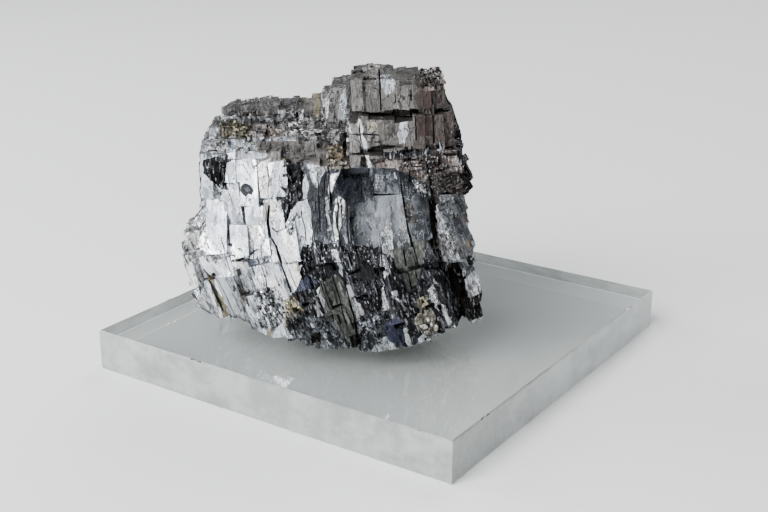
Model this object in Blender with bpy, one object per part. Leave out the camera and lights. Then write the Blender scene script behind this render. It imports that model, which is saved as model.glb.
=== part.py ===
"""Galena on a clear display plate: a cleaved lump of lead ore standing on a square of acrylic.

Run with: blender --background --python part.py

World frame: the origin is the middle of the plate's underside, +Z is up, and X and Y run along the plate's sides.
Specimen frame: x runs across the lump's broad face, y into it and z up from the plate's top. The face turns
SPECIMEN_TURN from the plate's side, so that it looks out over the plate's corner.

Galena breaks into cubes, so the lump is built the way it cleaves: a lofted core carries hundreds of square-cornered
laths, slabs and columns that all share one slowly bending crystal direction, and a Boolean union grows them into one
solid. A last Boolean cuts the deep rift and the open pocket at the lump's right.
"""

import math
import random
from collections import namedtuple

import bmesh
import bpy
from mathutils import Euler, Matrix, Vector

MM = 0.001

# Driving dimensions, in millimetres.
PLATE_SIDE = 50.0
PLATE_THICKNESS = 5.0
PLATE_BEVEL = 0.2
REST_GAP = 0.3
SPECIMEN_TURN = math.radians(34.3)
SEED = 82

# The crystal direction: laths lean this far from upright at the foot and at the top of the lump.
LEAN_AT_FOOT = math.radians(19.0)
LEAN_AT_TOP = math.radians(3.0)
LEAN_FOOT_HEIGHT = 6.0
LEAN_TOP_HEIGHT = 26.0

# How blocks meet: neighbours run into one another by OVERLAP, a broken end slants by END_SLANT at most, and a lath
# is never shorter than SHORTEST of its range.
OVERLAP = 0.2
END_SLANT = 0.14
SHORTEST = 0.6

# One level of the core. The front runs from left over a blunt ridge to right; back is the depth behind.
Section = namedtuple("Section", "height left right front_left front_ridge front_right back")
SECTIONS = [
    Section(REST_GAP, -13.0, 5.0, -8.0, -11.5, -11.0, 4.0),
    Section(1.5, -15.2, 6.2, -11.4, -13.7, -12.9, 6.5),
    Section(2.9, -18.8, 8.0, -12.2, -14.7, -14.4, 8.5),
    Section(4.6, -21.6, 8.8, -11.4, -14.9, -15.0, 9.5),
    Section(7.2, -23.2, 9.3, -10.5, -14.8, -14.9, 10.0),
    Section(11.3, -23.8, 9.2, -9.9, -14.2, -14.4, 10.2),
    Section(13.2, -22.9, 9.1, -9.4, -13.6, -13.9, 10.2),
    Section(14.8, -21.6, 9.0, -9.0, -13.1, -13.5, 10.2),
    Section(19.0, -21.7, 8.5, -8.4, -12.4, -12.8, 10.0),
    Section(21.6, -21.2, 8.0, -7.9, -11.7, -12.0, 9.6),
]
RIDGE_X = -6.0

# The core's plan at every level: shares of the width from the left, and of the depth from the front.
PLAN = [
    (0.00, 0.27), (0.05, 0.07), (0.24, 0.00), (0.50, 0.00), (0.80, 0.00), (0.93, 0.05),
    (1.00, 0.26), (0.98, 0.62), (0.84, 0.92), (0.50, 1.00), (0.19, 0.92), (0.03, 0.64),
]
PLAN_FRONT = PLAN[:7]
ROUND_THE_CORE = 104.0

# The broad face's lower edge, as (x, height).
FOOT_LINE = [
    (-23.5, 6.2), (-21.0, 3.8), (-18.5, 2.9), (-13.3, 2.4), (-9.5, 1.8), (-5.3, 1.7), (-2.8, 0.8),
    (0.4, 1.7), (3.7, 2.7), (7.2, 4.4), (9.0, 3.2), (12.0, 3.2),
]
# Laths on the face keep this far inside the core's left and right edges.
FACE_LEFT_MARGIN = 1.4
FACE_RIGHT_MARGIN = 0.2

# The terrace's lip runs back from the tower to the left end, as (x, depth), and so does the wall behind it.
LIP_LINE = [(-21.0, -8.6), (-7.0, -12.3), (-5.0, -12.8)]
WALL_LINE = [(-19.0, 1.6), (-7.0, 0.2), (-5.0, 0.0)]
Tread = namedtuple("Tread", "inward foot top ragged stepped left")
TREADS = [
    Tread(0.0, 19.0, 22.5, 0.25, 0.15, -21.3),
    Tread(1.6, 20.0, 22.95, 0.6, 0.12, -21.2),
    Tread(3.6, 21.0, 23.4, 0.7, 0.15, -21.0),
    Tread(5.6, 21.6, 23.8, 0.6, 0.2, -20.6),
    Tread(7.4, 22.0, 24.3, 0.5, 0.2, -20.2),
]
TREAD_BACK = 2.8
TERRACE_RIGHT = -5.5

# The tower: three courses of columns parted by cracks, stepped rows behind them and steps at each side. Its corner
# is cut back right of TOWER_CORNER_X.
Row = namedtuple("Row", "left right front back foot top narrow wide ragged stepped")
TOWER_COURSES = [
    Row(-4.0, 8.2, -12.3, -3.0, 20.6, 23.6, 0.8, 2.4, 0.22, 0.08),
    Row(-3.9, 7.2, -11.6, -3.0, 23.85, 27.5, 0.8, 2.4, 0.22, 0.08),
    Row(-3.8, 6.0, -10.7, -3.0, 27.75, 31.2, 0.8, 2.4, 0.2, 0.08),
]
TOWER_ROWS = [
    Row(-3.6, 5.2, -6.5, 1.4, 26.0, 30.4, 1.4, 2.8, 0.5, 0.2),
    Row(-3.9, 5.6, -2.0, 3.4, 24.0, 29.2, 1.2, 2.6, 0.4, 0.5),
    Row(-4.4, 6.4, -1.0, 5.2, 22.0, 27.6, 1.6, 3.0, 0.4, 0.6),
    Row(-4.8, 7.4, 0.0, 7.4, 20.0, 25.2, 1.8, 3.4, 0.4, 0.6),
    Row(-7.0, -5.6, -3.4, 3.2, 22.0, 28.1, 0.7, 0.9, 0.15, 0.1),
    Row(-5.8, -3.6, -3.9, 3.0, 22.0, 29.3, 0.7, 1.1, 0.15, 0.2),
    Row(5.8, 8.2, -6.0, 4.0, 20.0, 26.0, 0.7, 1.2, 0.5, 0.8),
]
TOWER_CORNER_X = 4.0
TOWER_CORNER_SLOPE = 0.5
TOWER_CORE = [
    (-3.2, -11.0, 20.5), (6.6, -10.6, 20.5), (8.6, -6.0, 20.5), (8.3, 6.5, 20.5), (-5.0, 7.5, 20.5),
    (-3.2, -10.0, 25.5), (6.0, -9.6, 25.5), (7.7, -4.0, 25.5), (7.1, 4.6, 25.2), (-4.6, 5.4, 25.5),
    (-3.0, -8.6, 30.6), (5.0, -8.0, 30.6), (6.0, -3.0, 30.2), (4.6, 1.0, 29.4), (-3.0, 1.0, 29.6),
]

# Single blocks and cutters: centre, size, the height that sets their lean, and how far the face turns, in degrees.
SMALL_CUBES = [((9.4, -8.6, 7.1), (1.8, 4.6, 4.4), 6.0, 14.0), ((9.5, -7.4, 4.0), (1.6, 5.0, 3.2), 6.0, 18.0)]
RIFT = ((5.35, -15.2, 15.2), (0.7, 6.6, 10.5), 14.0, 4.0)
POCKET = ((7.75, -14.0, 6.7), (1.5, 9.0, 7.8), 6.0, -4.0)
FACE_CRACK = ((-8.2, -16.0, 9.4), (0.35, 4.0, 9.6), 6.0, 14.0)


def remove_startup_objects():
    for obj in list(bpy.data.objects):
        bpy.data.objects.remove(obj)


def mix(a, b, share):
    return a + (b - a) * share


def along(line, x):
    """The second value of a line of (x, value) points at x, level beyond its ends."""
    for (x0, value0), (x1, value1) in zip(line, line[1:]):
        if x <= x1:
            return mix(value0, value1, max((x - x0) / (x1 - x0), 0.0))
    return line[-1][1]


def lean_at(height):
    share = (height - LEAN_FOOT_HEIGHT) / (LEAN_TOP_HEIGHT - LEAN_FOOT_HEIGHT)
    return mix(LEAN_AT_FOOT, LEAN_AT_TOP, min(max(share, 0.0), 1.0))


def drift(height):
    """How far left of its foot a crystal column has come at a height: the lean, summed from LEAN_FOOT_HEIGHT."""
    rise = height - LEAN_FOOT_HEIGHT
    return rise * (LEAN_AT_FOOT + lean_at(height)) / 2


def section_at(height):
    """The core's section at a height, between the two levels that hold it."""
    height = min(max(height, SECTIONS[0].height), SECTIONS[-1].height)
    for low, high in zip(SECTIONS, SECTIONS[1:]):
        if height <= high.height:
            share = (height - low.height) / (high.height - low.height)
            return Section(*(mix(a, b, share) for a, b in zip(low, high)))
    return SECTIONS[-1]


def plan_point(section, across, inward):
    """A point of the core's plan. The front is straight from the left to the ridge, and on to the right."""
    x = mix(section.left, section.right, across)
    front_line = [
        (section.left, section.front_left),
        (RIDGE_X, section.front_ridge),
        (section.right, section.front_right),
    ]
    return Vector((x, mix(along(front_line, x), section.back, inward), section.height))


def ring_at(height):
    """The core's outline at a height, anticlockwise from above, starting at its left tip."""
    return [plan_point(section_at(height), *share) for share in PLAN]


def face_depth(height, x):
    """Depth of the core's front at a height and an x, round both corners to the tips."""
    front = [plan_point(section_at(height), *share) for share in PLAN_FRONT]
    return along([(point.x, point.y) for point in front], x)


def outline_point(height, turn):
    """Point and outward direction of the core's outline, turn of the way round from its left tip."""
    ring = ring_at(height)
    place = (turn % 1.0) * len(ring)
    first = int(place) % len(ring)
    start, end = ring[first], ring[(first + 1) % len(ring)]
    edge = (end - start).normalized()
    return start.lerp(end, place - int(place)), Vector((edge.y, -edge.x, 0.0))


def new_material(name, colour, roughness, metallic, transmission):
    material = bpy.data.materials.new(name)
    material.use_nodes = True
    shader = material.node_tree.nodes["Principled BSDF"]
    shader.inputs["Base Color"].default_value = (*colour, 1.0)
    shader.inputs["Roughness"].default_value = roughness
    shader.inputs["Metallic"].default_value = metallic
    shader.inputs["Transmission Weight"].default_value = transmission
    return material


def new_object(name, mesh, collection):
    obj = bpy.data.objects.new(name, mesh)
    collection.objects.link(obj)
    return obj


def mesh_from(form, name):
    """A mesh from a bmesh that is in specimen millimetres."""
    bmesh.ops.recalc_face_normals(form, faces=form.faces)
    bmesh.ops.scale(form, vec=(MM, MM, MM), verts=form.verts)
    mesh = bpy.data.meshes.new(name)
    form.to_mesh(mesh)
    form.free()
    return mesh


class Growth:
    """Collects the crystal blocks that one Boolean grows onto the core or cuts out of it."""

    def __init__(self, collection, seed):
        self.collection = collection
        self.draw = random.Random(seed)

    def wobble(self, amount):
        return self.draw.uniform(-amount, amount)

    def block(self, centre, size, lean, yaw=0.0, pitch=0.0, loose=1.5):
        """One cleavage block: its top and foot are cut a little askew, as a broken column ends.

        lean swings the foot to the right, yaw turns the face, pitch tips its top back, and loose is the most
        that it strays from the crystal direction, in degrees.
        """
        stray = [math.radians(self.wobble(loose)) for _ in range(3)]
        faced = Euler((-pitch, 0.0, yaw)).to_matrix()
        turn = Euler((stray[0], -lean + stray[1], stray[2])).to_matrix() @ faced
        top_slant = [self.wobble(END_SLANT) for _ in range(2)]
        foot_slant = [self.wobble(END_SLANT) for _ in range(2)]
        form = bmesh.new()
        bmesh.ops.create_cube(form, size=1.0)
        for vert in form.verts:
            x, y, z = vert.co.x * size[0], vert.co.y * size[1], vert.co.z * size[2]
            slant = top_slant if z > 0 else foot_slant
            vert.co = Vector(centre) + turn @ Vector((x, y, z + slant[0] * x + slant[1] * y))
        new_object("block", mesh_from(form, "block"), self.collection)

    def single(self, centre, size, lean_height, yaw_degrees):
        self.block(centre, size, lean_at(lean_height), math.radians(yaw_degrees))

    def hull(self, points):
        """A convex lump through the points."""
        form = bmesh.new()
        for point in points:
            form.verts.new(point)
        bmesh.ops.convex_hull(form, input=form.verts)
        new_object("hull", mesh_from(form, "hull"), self.collection)

    def stack(self, foot, top, length):
        """Heights where one lath ends and the next begins, from foot to top."""
        cuts = [foot]
        while cuts[-1] < top - length[0] * SHORTEST:
            cuts.append(min(cuts[-1] + self.draw.uniform(*length), top))
        return cuts

    def clad_front(self, feet, heights, width, length, proud, loose):
        """Columns of laths over the broad face. feet is the range of x that they stand on at LEAN_FOOT_HEIGHT."""
        x = feet[0]
        while x < feet[1]:
            wide = self.draw.uniform(*width)
            foot_of_column = max(heights[0] + self.wobble(0.5), along(FOOT_LINE, x + wide / 2) + self.wobble(0.2))
            cuts = self.stack(foot_of_column, heights[1] + self.wobble(0.4), length)
            for foot, top in zip(cuts, cuts[1:]):
                middle = (foot + top) / 2
                at = x + wide / 2 - drift(middle)
                section = section_at(middle)
                if section.left + FACE_LEFT_MARGIN < at < section.right - FACE_RIGHT_MARGIN:
                    self.face_lath(at, foot, top, wide, self.draw.uniform(*proud), loose)
            x += wide

    def face_lath(self, at, foot, top, wide, proud, loose, deep=3.2, reach=1.0):
        """One lath on the broad face, laid to the core's slope over reach either side of its middle."""
        middle = (foot + top) / 2
        across = (face_depth(middle, at + reach) - face_depth(middle, at - reach)) / (2 * reach)
        upward = (face_depth(middle + reach, at) - face_depth(middle - reach, at)) / (2 * reach)
        centre = (at, face_depth(middle, at) + deep / 2 - proud, middle)
        size = (wide + OVERLAP, deep, top - foot + OVERLAP)
        self.block(centre, size, lean_at(middle), math.atan(across), math.atan(upward), loose)

    def clad_round(self, turns, heights, width, length, proud, deep):
        """Columns of laths round the part of the outline between two shares of a turn."""
        turn = turns[0]
        while turn < turns[1]:
            wide = self.draw.uniform(*width)
            cuts = self.stack(heights[0] + self.wobble(0.8), heights[1] + self.wobble(0.3), length)
            for foot, top in zip(cuts, cuts[1:]):
                point, outward = outline_point((foot + top) / 2, turn)
                centre = point + outward * (self.draw.uniform(*proud) - deep / 2)
                size = (wide + OVERLAP, deep, top - foot + OVERLAP)
                self.block(centre, size, lean_at(centre.z), math.atan2(outward.x, -outward.y))
            turn += wide / ROUND_THE_CORE

    def row(self, row, front):
        """Upright columns side by side, whose fronts follow front(x) raggedly and whose tops are stepped."""
        x = row.left
        while x < row.right:
            wide = min(self.draw.uniform(row.narrow, row.wide), row.right - x + OVERLAP)
            at = x + wide / 2
            top = row.top + self.wobble(row.stepped)
            near = front(at) + self.wobble(row.ragged)
            centre = (at, (near + row.back) / 2, (row.foot + top) / 2)
            self.block(centre, (wide + OVERLAP, row.back - near, top - row.foot), lean_at(top))
            x += wide


def add_core():
    """The lofted core: one ring for each section, bridged, and closed at the foot and the top."""
    form = bmesh.new()
    rings = [[form.verts.new(point) for point in ring_at(section.height)] for section in SECTIONS]
    for low, high in zip(rings, rings[1:]):
        for i in range(len(PLAN)):
            j = (i + 1) % len(PLAN)
            form.faces.new((low[i], low[j], high[j], high[i]))
    form.faces.new(reversed(rings[0]))
    form.faces.new(rings[-1])
    return new_object("galena", mesh_from(form, "galena"), bpy.context.scene.collection)


def add_front(growth):
    """The broad face: flat plates above, and thin leaning laths that run out at its foot."""
    growth.clad_front(
        feet=(-19.6, -6.0), heights=(11.0, 22.0), width=(1.4, 3.4), length=(3.0, 9.0), proud=(0.9, 1.1), loose=0.7
    )
    growth.clad_front(
        feet=(-6.0, 8.2), heights=(11.0, 22.0), width=(1.2, 3.2), length=(3.5, 9.5), proud=(0.9, 1.15), loose=0.7
    )
    growth.clad_front(
        feet=(-21.6, -12.0), heights=(2.4, 11.0), width=(1.0, 2.4), length=(2.5, 7.0), proud=(0.8, 1.1), loose=1.0
    )
    growth.clad_front(
        feet=(-12.0, 6.4), heights=(0.6, 11.0), width=(0.8, 2.0), length=(2.5, 7.0), proud=(0.7, 1.25), loose=1.4
    )


def add_right_flank(growth):
    """The rough flank right of the rift, set back from the broad face, and the small cubes below it."""
    growth.clad_front(
        feet=(8.4, 12.4), heights=(9.0, 21.0), width=(0.8, 1.6), length=(1.0, 3.5), proud=(0.0, 0.4), loose=2.0
    )
    for cube in SMALL_CUBES:
        growth.single(*cube)


def add_sides_and_back(growth):
    """Laths round the left lobe, coarser ones round the right side and the back, all to the foot."""
    growth.clad_round(
        turns=(-0.06, 0.08), heights=(4.2, 13.0), width=(0.9, 2.0), length=(1.8, 5.0), proud=(0.0, 0.4), deep=3.0
    )
    growth.clad_round(
        turns=(-0.06, 0.08), heights=(15.0, 21.6), width=(1.2, 2.4), length=(2.5, 5.5), proud=(-0.1, 0.3), deep=3.0
    )
    growth.clad_round(
        turns=(0.47, 0.62), heights=(3.0, 21.0), width=(1.2, 2.8), length=(2.0, 5.5), proud=(-0.1, 0.3), deep=4.0
    )
    growth.clad_round(
        turns=(0.62, 0.94), heights=(1.8, 21.8), width=(1.6, 4.0), length=(2.5, 8.5), proud=(0.1, 0.8), deep=4.0
    )


def add_terrace(growth):
    """The stepped top left of the tower: treads that climb from the lip to a low wall, and a lower row behind it."""
    for tread in TREADS:
        left, right = tread.left, TERRACE_RIGHT
        row = Row(left, right, 0.0, TREAD_BACK, tread.foot, tread.top, 0.8, 2.4, tread.ragged, tread.stepped)
        growth.row(row, lambda x: along(LIP_LINE, x) + tread.inward)
    wall = Row(-19.4, TERRACE_RIGHT, 0.0, 5.4, 20.0, 25.7, 1.0, 2.4, 0.3, 0.2)
    growth.row(wall, lambda x: along(WALL_LINE, x))
    behind = Row(-17.2, TERRACE_RIGHT, 4.2, 8.2, 19.6, 25.1, 1.6, 3.0, 0.3, 0.6)
    growth.row(behind, lambda x: behind.front)


def add_tower(growth):
    """The raised block at the top right."""
    growth.hull(TOWER_CORE)
    for course in TOWER_COURSES:
        growth.row(course, lambda x: course.front + max(x - TOWER_CORNER_X, 0.0) * TOWER_CORNER_SLOPE)
    for row in TOWER_ROWS:
        growth.row(row, lambda x: row.front)


def new_collection(name):
    collection = bpy.data.collections.new(name)
    bpy.context.scene.collection.children.link(collection)
    return collection


def add_boolean(obj, operation, collection):
    modifier = obj.modifiers.new(operation, "BOOLEAN")
    modifier.operation = operation
    modifier.operand_type = "COLLECTION"
    modifier.collection = collection
    modifier.solver = "EXACT"


def apply_modifiers(obj):
    graph = bpy.context.evaluated_depsgraph_get()
    mesh = bpy.data.meshes.new_from_object(obj.evaluated_get(graph))
    obj.modifiers.clear()
    obj.data = mesh


def shells_of(form):
    """The connected sets of faces."""
    left, shells = set(form.faces), []
    while left:
        shell, todo = set(), [left.pop()]
        while todo:
            face = todo.pop()
            shell.add(face)
            for edge in face.edges:
                for other in edge.link_faces:
                    if other in left:
                        left.remove(other)
                        todo.append(other)
        shells.append(shell)
    return shells


def keep_outer_shell(obj):
    """Fills the sealed pockets that blocks leave between them, by keeping the largest shell alone."""
    form = bmesh.new()
    form.from_mesh(obj.data)
    shells = sorted(shells_of(form), key=len)
    inner = [face for shell in shells[:-1] for face in shell]
    bmesh.ops.delete(form, geom=inner, context="FACES")
    form.to_mesh(obj.data)
    form.free()


def add_galena():
    """The lump, one solid: core, union with everything that grows on it, then the cuts."""
    grown, cut = new_collection("grown_blocks"), new_collection("cuts")
    galena = add_core()
    growth = Growth(grown, SEED)
    for add in (add_front, add_right_flank, add_sides_and_back, add_terrace, add_tower):
        add(growth)
    cuts = Growth(cut, SEED)
    for cutter in (RIFT, POCKET, FACE_CRACK):
        cuts.single(*cutter)
    add_boolean(galena, "UNION", grown)
    add_boolean(galena, "DIFFERENCE", cut)
    apply_modifiers(galena)
    keep_outer_shell(galena)
    for helper in [*grown.objects, *cut.objects]:
        bpy.data.objects.remove(helper)
    galena.data.materials.clear()
    galena.data.materials.append(new_material("galena", (0.42, 0.43, 0.46), 0.32, 1.0, 0.0))
    galena.location.z = PLATE_THICKNESS * MM
    galena.rotation_euler.z = SPECIMEN_TURN


def add_plate():
    """The clear plate: a square slab with its sawn edges lightly broken."""
    form = bmesh.new()
    bmesh.ops.create_cube(form, size=1.0)
    size = Vector((PLATE_SIDE, PLATE_SIDE, PLATE_THICKNESS))
    bmesh.ops.transform(form, matrix=Matrix.Diagonal(size).to_4x4(), verts=form.verts)
    bmesh.ops.translate(form, vec=(0.0, 0.0, PLATE_THICKNESS / 2), verts=form.verts)
    plate = new_object("display_plate", mesh_from(form, "display_plate"), bpy.context.scene.collection)
    bevel = plate.modifiers.new("broken_edges", "BEVEL")
    bevel.width = PLATE_BEVEL * MM
    bevel.segments = 1
    plate.data.materials.append(new_material("clear_acrylic", (0.86, 0.88, 0.87), 0.05, 0.0, 0.8))


def main():
    remove_startup_objects()
    add_galena()
    add_plate()


main()
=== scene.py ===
"""The look of the galena specimen: its cleavage surface, its clear plate, the light and the camera.

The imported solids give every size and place. Work on the lump is done in the specimen frame of the part, in
millimetres: x across the broad face, y into it, z up from the plate's top. In world space that frame is
turned by SPECIMEN_TURN about +Z and raised by the plate's thickness.
"""

import math
from collections import namedtuple

import bmesh
import bpy
import numpy as np
from mathutils import Matrix, Vector, noise
from mathutils.bvhtree import BVHTree


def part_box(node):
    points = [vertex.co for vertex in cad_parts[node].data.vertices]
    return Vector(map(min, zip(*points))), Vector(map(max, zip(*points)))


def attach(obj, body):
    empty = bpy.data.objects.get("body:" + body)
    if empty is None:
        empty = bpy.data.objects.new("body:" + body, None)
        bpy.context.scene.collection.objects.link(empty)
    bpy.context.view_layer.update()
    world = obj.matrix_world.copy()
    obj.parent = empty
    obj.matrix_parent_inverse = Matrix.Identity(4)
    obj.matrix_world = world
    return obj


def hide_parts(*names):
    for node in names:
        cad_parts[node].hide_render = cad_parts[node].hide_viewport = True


MM = 0.001
SEED = 61
SPECIMEN_TURN = math.radians(34.3)
PLATE_TOP = 5.0
# Points of a mesh that are closer than this, in millimetres, are one point.
WELD = 0.0001
TINY = 1e-12

# The camera, fitted to the plate's corners: angles in degrees, lengths in millimetres, the target in world
# space and the clip start in metres.
CAMERA_AZIMUTH = 34.27640892
CAMERA_ELEVATION = 19.89388357
CAMERA_DISTANCE = 135.30066206
CAMERA_TARGET = (11.97030157, -18.09880375, 20.0)
CAMERA_LENS = 60.0235
CAMERA_SENSOR = 36.0
CLIP_START = 0.001
IMAGE_SIZE = (768, 512)
FOCAL_PIXELS = CAMERA_LENS / CAMERA_SENSOR * IMAGE_SIZE[0]

# The crystal direction: how far the laths lean from upright, in degrees, low down on either side and above,
# between which heights they bend, where the two sides end, and the steps in which the bend is added up.
LEAN_HIGH = 3.0
LEAN_LOW_LEFT = 24.0
LEAN_LOW_RIGHT = 14.0
LEAN_BEND = (11.0, 16.5)
LEFT_END, RIGHT_END = -22.0, 10.0
BEND_STEPS = 24

# Cleavage blocks, in millimetres. CANDIDATES spots are tried. A corner leaves the surface by OVERHANG at most
# and stays above LOWEST. A raised block is rooted ROOT deep, and a cutter stands PROUD of the surface.
CANDIDATES = 120000
OVERHANG = 0.12
LOWEST = 0.03
ROOT = 0.5
PROUD = 0.6
# A face whose normal is this close to the crystal direction lies across it.
ACROSS = 0.8

# Cracks: how their width varies, how far their stretches run into one another, and the longest stretch that
# is cut, in millimetres.
CRACK_WIDTHS = (0.7, 1.3)
CRACK_OVERLAP = 1.12
LONGEST_CRACK = 6.0

# Outlines, in pixels of the view: long sides break into short ones that wander by JAG of their length. The
# solid's faces are split along outlines of up to LARGEST_CUT_OUT, where they come within LEVEL_MARGIN of a
# side's height. A split snaps to points that are within SPLIT_SNAP millimetres of it.
LONGEST_SIDE = 5.0
JAG = 0.16
LARGEST_CUT_OUT = 50
LEVEL_MARGIN = 0.1
SPLIT_SNAP = 0.01

# The silhouette's points move in or out by WAVER of their distance from its middle. The ring that trims the
# lump reaches out to TRIM_REACH of that distance and TRIM_DEPTH millimetres either way. Blocks may reach out
# to EDGE_SLACK of it.
WAVER = 0.005
TRIM_REACH = 1.5
TRIM_DEPTH = 45.0
EDGE_SLACK = 1.012

# How far, in pixels of the view, calm patches blend, and the spiral of spots that the blend looks at: its
# number of spots, the turn in radians from one to the next, its stretch upright, and the sum that it starts
# from.
SOFT_REACH = 6.5
SOFT_SPOTS = 36
SOFT_TURN = 2.4
SOFT_STRETCH = 1.5
SOFT_START = 1e-6

# The grounds: the scales of their two fields in 1/mm, the height from which terrace and tower begin, how far
# the fields move it, and the x that parts the two. The underside is below UNDERSIDE_TOP. The upright share of
# a face's normal is under UNDERSIDE_SLOPE there, and over OLIVE_SLOPE where the terrace turns olive.
FIELD_SCALE = 0.21
FLECK_SCALE = 0.9
FLECK_SHIFT = Vector((7.0, 3.0, 1.0))
HIGH_GROUND = 22.2
FIELD_LIFT, FLECK_LIFT = 2.0, 3.0
TERRACE_END = -4.0
UNDERSIDE_TOP = 3.0
UNDERSIDE_SLOPE, OLIVE_SLOPE = -0.7, 0.3

# Tones: the shares of a block's and of a facet's own tone, the factors on the colour of broken ground, whose
# top end is painted glints, the spreads past which ground counts as wild or lively, and the brightest that a
# colour gets.
BLOCK_SHARE, FACET_SHARE = 0.55, 0.45
WILD_TONES_AND_GLINTS = ((0.0, 0.3, 0.6, 0.8, 0.92, 1.0), (0.2, 0.5, 1.0, 1.8, 3.4, 5.0))
LIVELY_TONES = ((0.0, 1.0), (0.6, 1.5))
WILD_SPREAD, LIVELY_SPREAD = 0.7, 0.2
BRIGHTEST = 0.97
# Facets share a tone where their normals and offsets round to the same step.
TURN_STEPS = 40
OFFSET_STEP = 0.05
# Hollows: the depth at which they begin, the depth over which they deepen, how much painted shade darkens
# them, and how soiled they get.
HOLLOW_START = 0.04
HOLLOW_DEPTH = 0.2
HOLLOW_SHADE = 0.85
HOLLOW_SOIL = 0.6

# The plate's edges, in millimetres: how many cuts part each rim, and how they were left by the saw.
# A face is polished where its normal is upright by more than FLAT, and sawn elsewhere.
PLATE_CUTS = 60
EASED_EDGE = 0.12
SAW_WANDER = 0.03
CHIP_DEPTH = 0.12
CHIP_SHARE = 0.06
FLAT = 0.9

# The acrylic, with its saw's lines and clouds per metre, and the shades that frost gives it.
ACRYLIC_IOR = 1.49
CLEAR_TINT = (0.93, 0.96, 0.95)
SAW_LINES = (2600.0, 2600.0, 220.0)
SAW_CLOUDS = (340.0, 340.0, 420.0)
FROST_DARK, FROST_LIGHT = (0.50, 0.54, 0.53), (0.82, 0.86, 0.85)

# The metal's finer detail: cells and noise per millimetre, with the third number along the laths, and how far
# cells wander in millimetres.
CRYSTAL_SCALE, CRYSTAL_STRETCH, CRYSTAL_WANDER = 2.2, (1.0, 1.0, 0.4), 0.6
FACET_SCALE, FACET_STRETCH, FACET_WANDER = 1.0, (1.0, 1.0, 0.3), 0.7
CRUMB_SCALE, CRUMB_STRETCH = 6.0, (1.0, 1.0, 0.28)
GRIT = (5.0, 5.0, 2.2)
STREAKS = (4.2, 4.2, 0.5)
PITS = (6.0, 6.0, 1.5)
STRIATIONS = (7.0, 7.0, 0.9)
# Painted shade: the near black that cracks and pits are painted.
CRACK_SHADE_COLOUR = (0.012, 0.011, 0.010)

# The studio, in metres and watts. Lights face AIM, and their azimuths count from the camera's.
FLOOR_REACH = 0.7
FLOOR_DROP = 0.00005
FLOOR_GREY = (0.62, 0.62, 0.62)
AIM = Vector((0.0, 0.0, 0.018))
SKY, SKY_STRENGTH = (0.86, 0.89, 0.94, 1.0), 0.16
Light = namedtuple("Light", "azimuth elevation distance size power colour", defaults=((1.0, 1.0, 1.0),))
LIGHTS = {
    "key": Light(-42.0, 42.0, 0.55, (0.36, 0.36), 8.6),
    "side": Light(-62.0, 12.0, 0.5, (0.2, 0.3), 2.2),
    "edge": Light(-108.0, 22.0, 0.5, (0.2, 0.3), 2.6, (0.9, 0.95, 1.0)),
    "rim": Light(150.0, 45.0, 0.6, (0.3, 0.3), 3.0),
}


# The map of the lump: what each stretch of its surface is made of, with light and shade painted on it.

# How a kind of surface is broken up. Width and length are the range of its blocks in millimetres, rise how
# far they stand proud, depth how far they are cut in. Cover is how many times over the blocks would cover it,
# cut the share of them that is cut in, tilt the spread of their slopes in degrees, ragged how far their
# corners wander. Grain runs from 0, smooth, to 1, broken into glinting crumbs, and spread is how much the
# tone of one block differs from the next.
Break = namedtuple("Break", "width length rise depth cover cut tilt ragged grain spread")
SOLID = Break((0.4, 1.1), (0.6, 2.0), (0.01, 0.06), (0.02, 0.1), 1.0, 0.2, 1.5, 0.2, 0.15, 0.1)
SMOOTH = Break((0.5, 1.8), (1.2, 4.2), (0.01, 0.05), (0.02, 0.07), 1.2, 0.25, 1.0, 0.2, 0.03, 0.16)
PLATES = Break((0.5, 1.9), (0.8, 3.2), (0.015, 0.1), (0.04, 0.2), 1.6, 0.25, 1.4, 0.22, 0.1, 0.1)
CRAZED = Break((0.22, 0.8), (0.3, 1.3), (0.02, 0.16), (0.06, 0.3), 2.0, 0.3, 3.0, 0.22, 0.4, 0.22)
LATHS = Break((0.18, 0.6), (0.8, 3.6), (0.03, 0.24), (0.08, 0.35), 2.4, 0.3, 2.5, 0.15, 0.38, 0.35)
GRAINS = Break((0.18, 0.5), (0.2, 0.8), (0.04, 0.32), (0.1, 0.4), 2.2, 0.3, 9.0, 0.22, 0.95, 0.95)
CRYSTALS = Break((0.25, 0.7), (0.25, 0.7), (0.04, 0.36), (0.1, 0.4), 2.3, 0.28, 12.0, 0.22, 0.62, 0.95)
SPLINTERS = Break((0.15, 0.42), (0.4, 2.2), (0.03, 0.3), (0.1, 0.4), 2.2, 0.35, 5.0, 0.18, 0.75, 0.95)
LAYERS = Break((0.5, 1.8), (0.12, 0.36), (0.03, 0.3), (0.1, 0.4), 2.2, 0.3, 6.0, 0.15, 0.7, 0.6)
COLUMNS = Break((0.25, 0.9), (0.6, 2.8), (0.02, 0.2), (0.06, 0.25), 1.9, 0.3, 2.5, 0.15, 0.3, 0.2)

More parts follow.
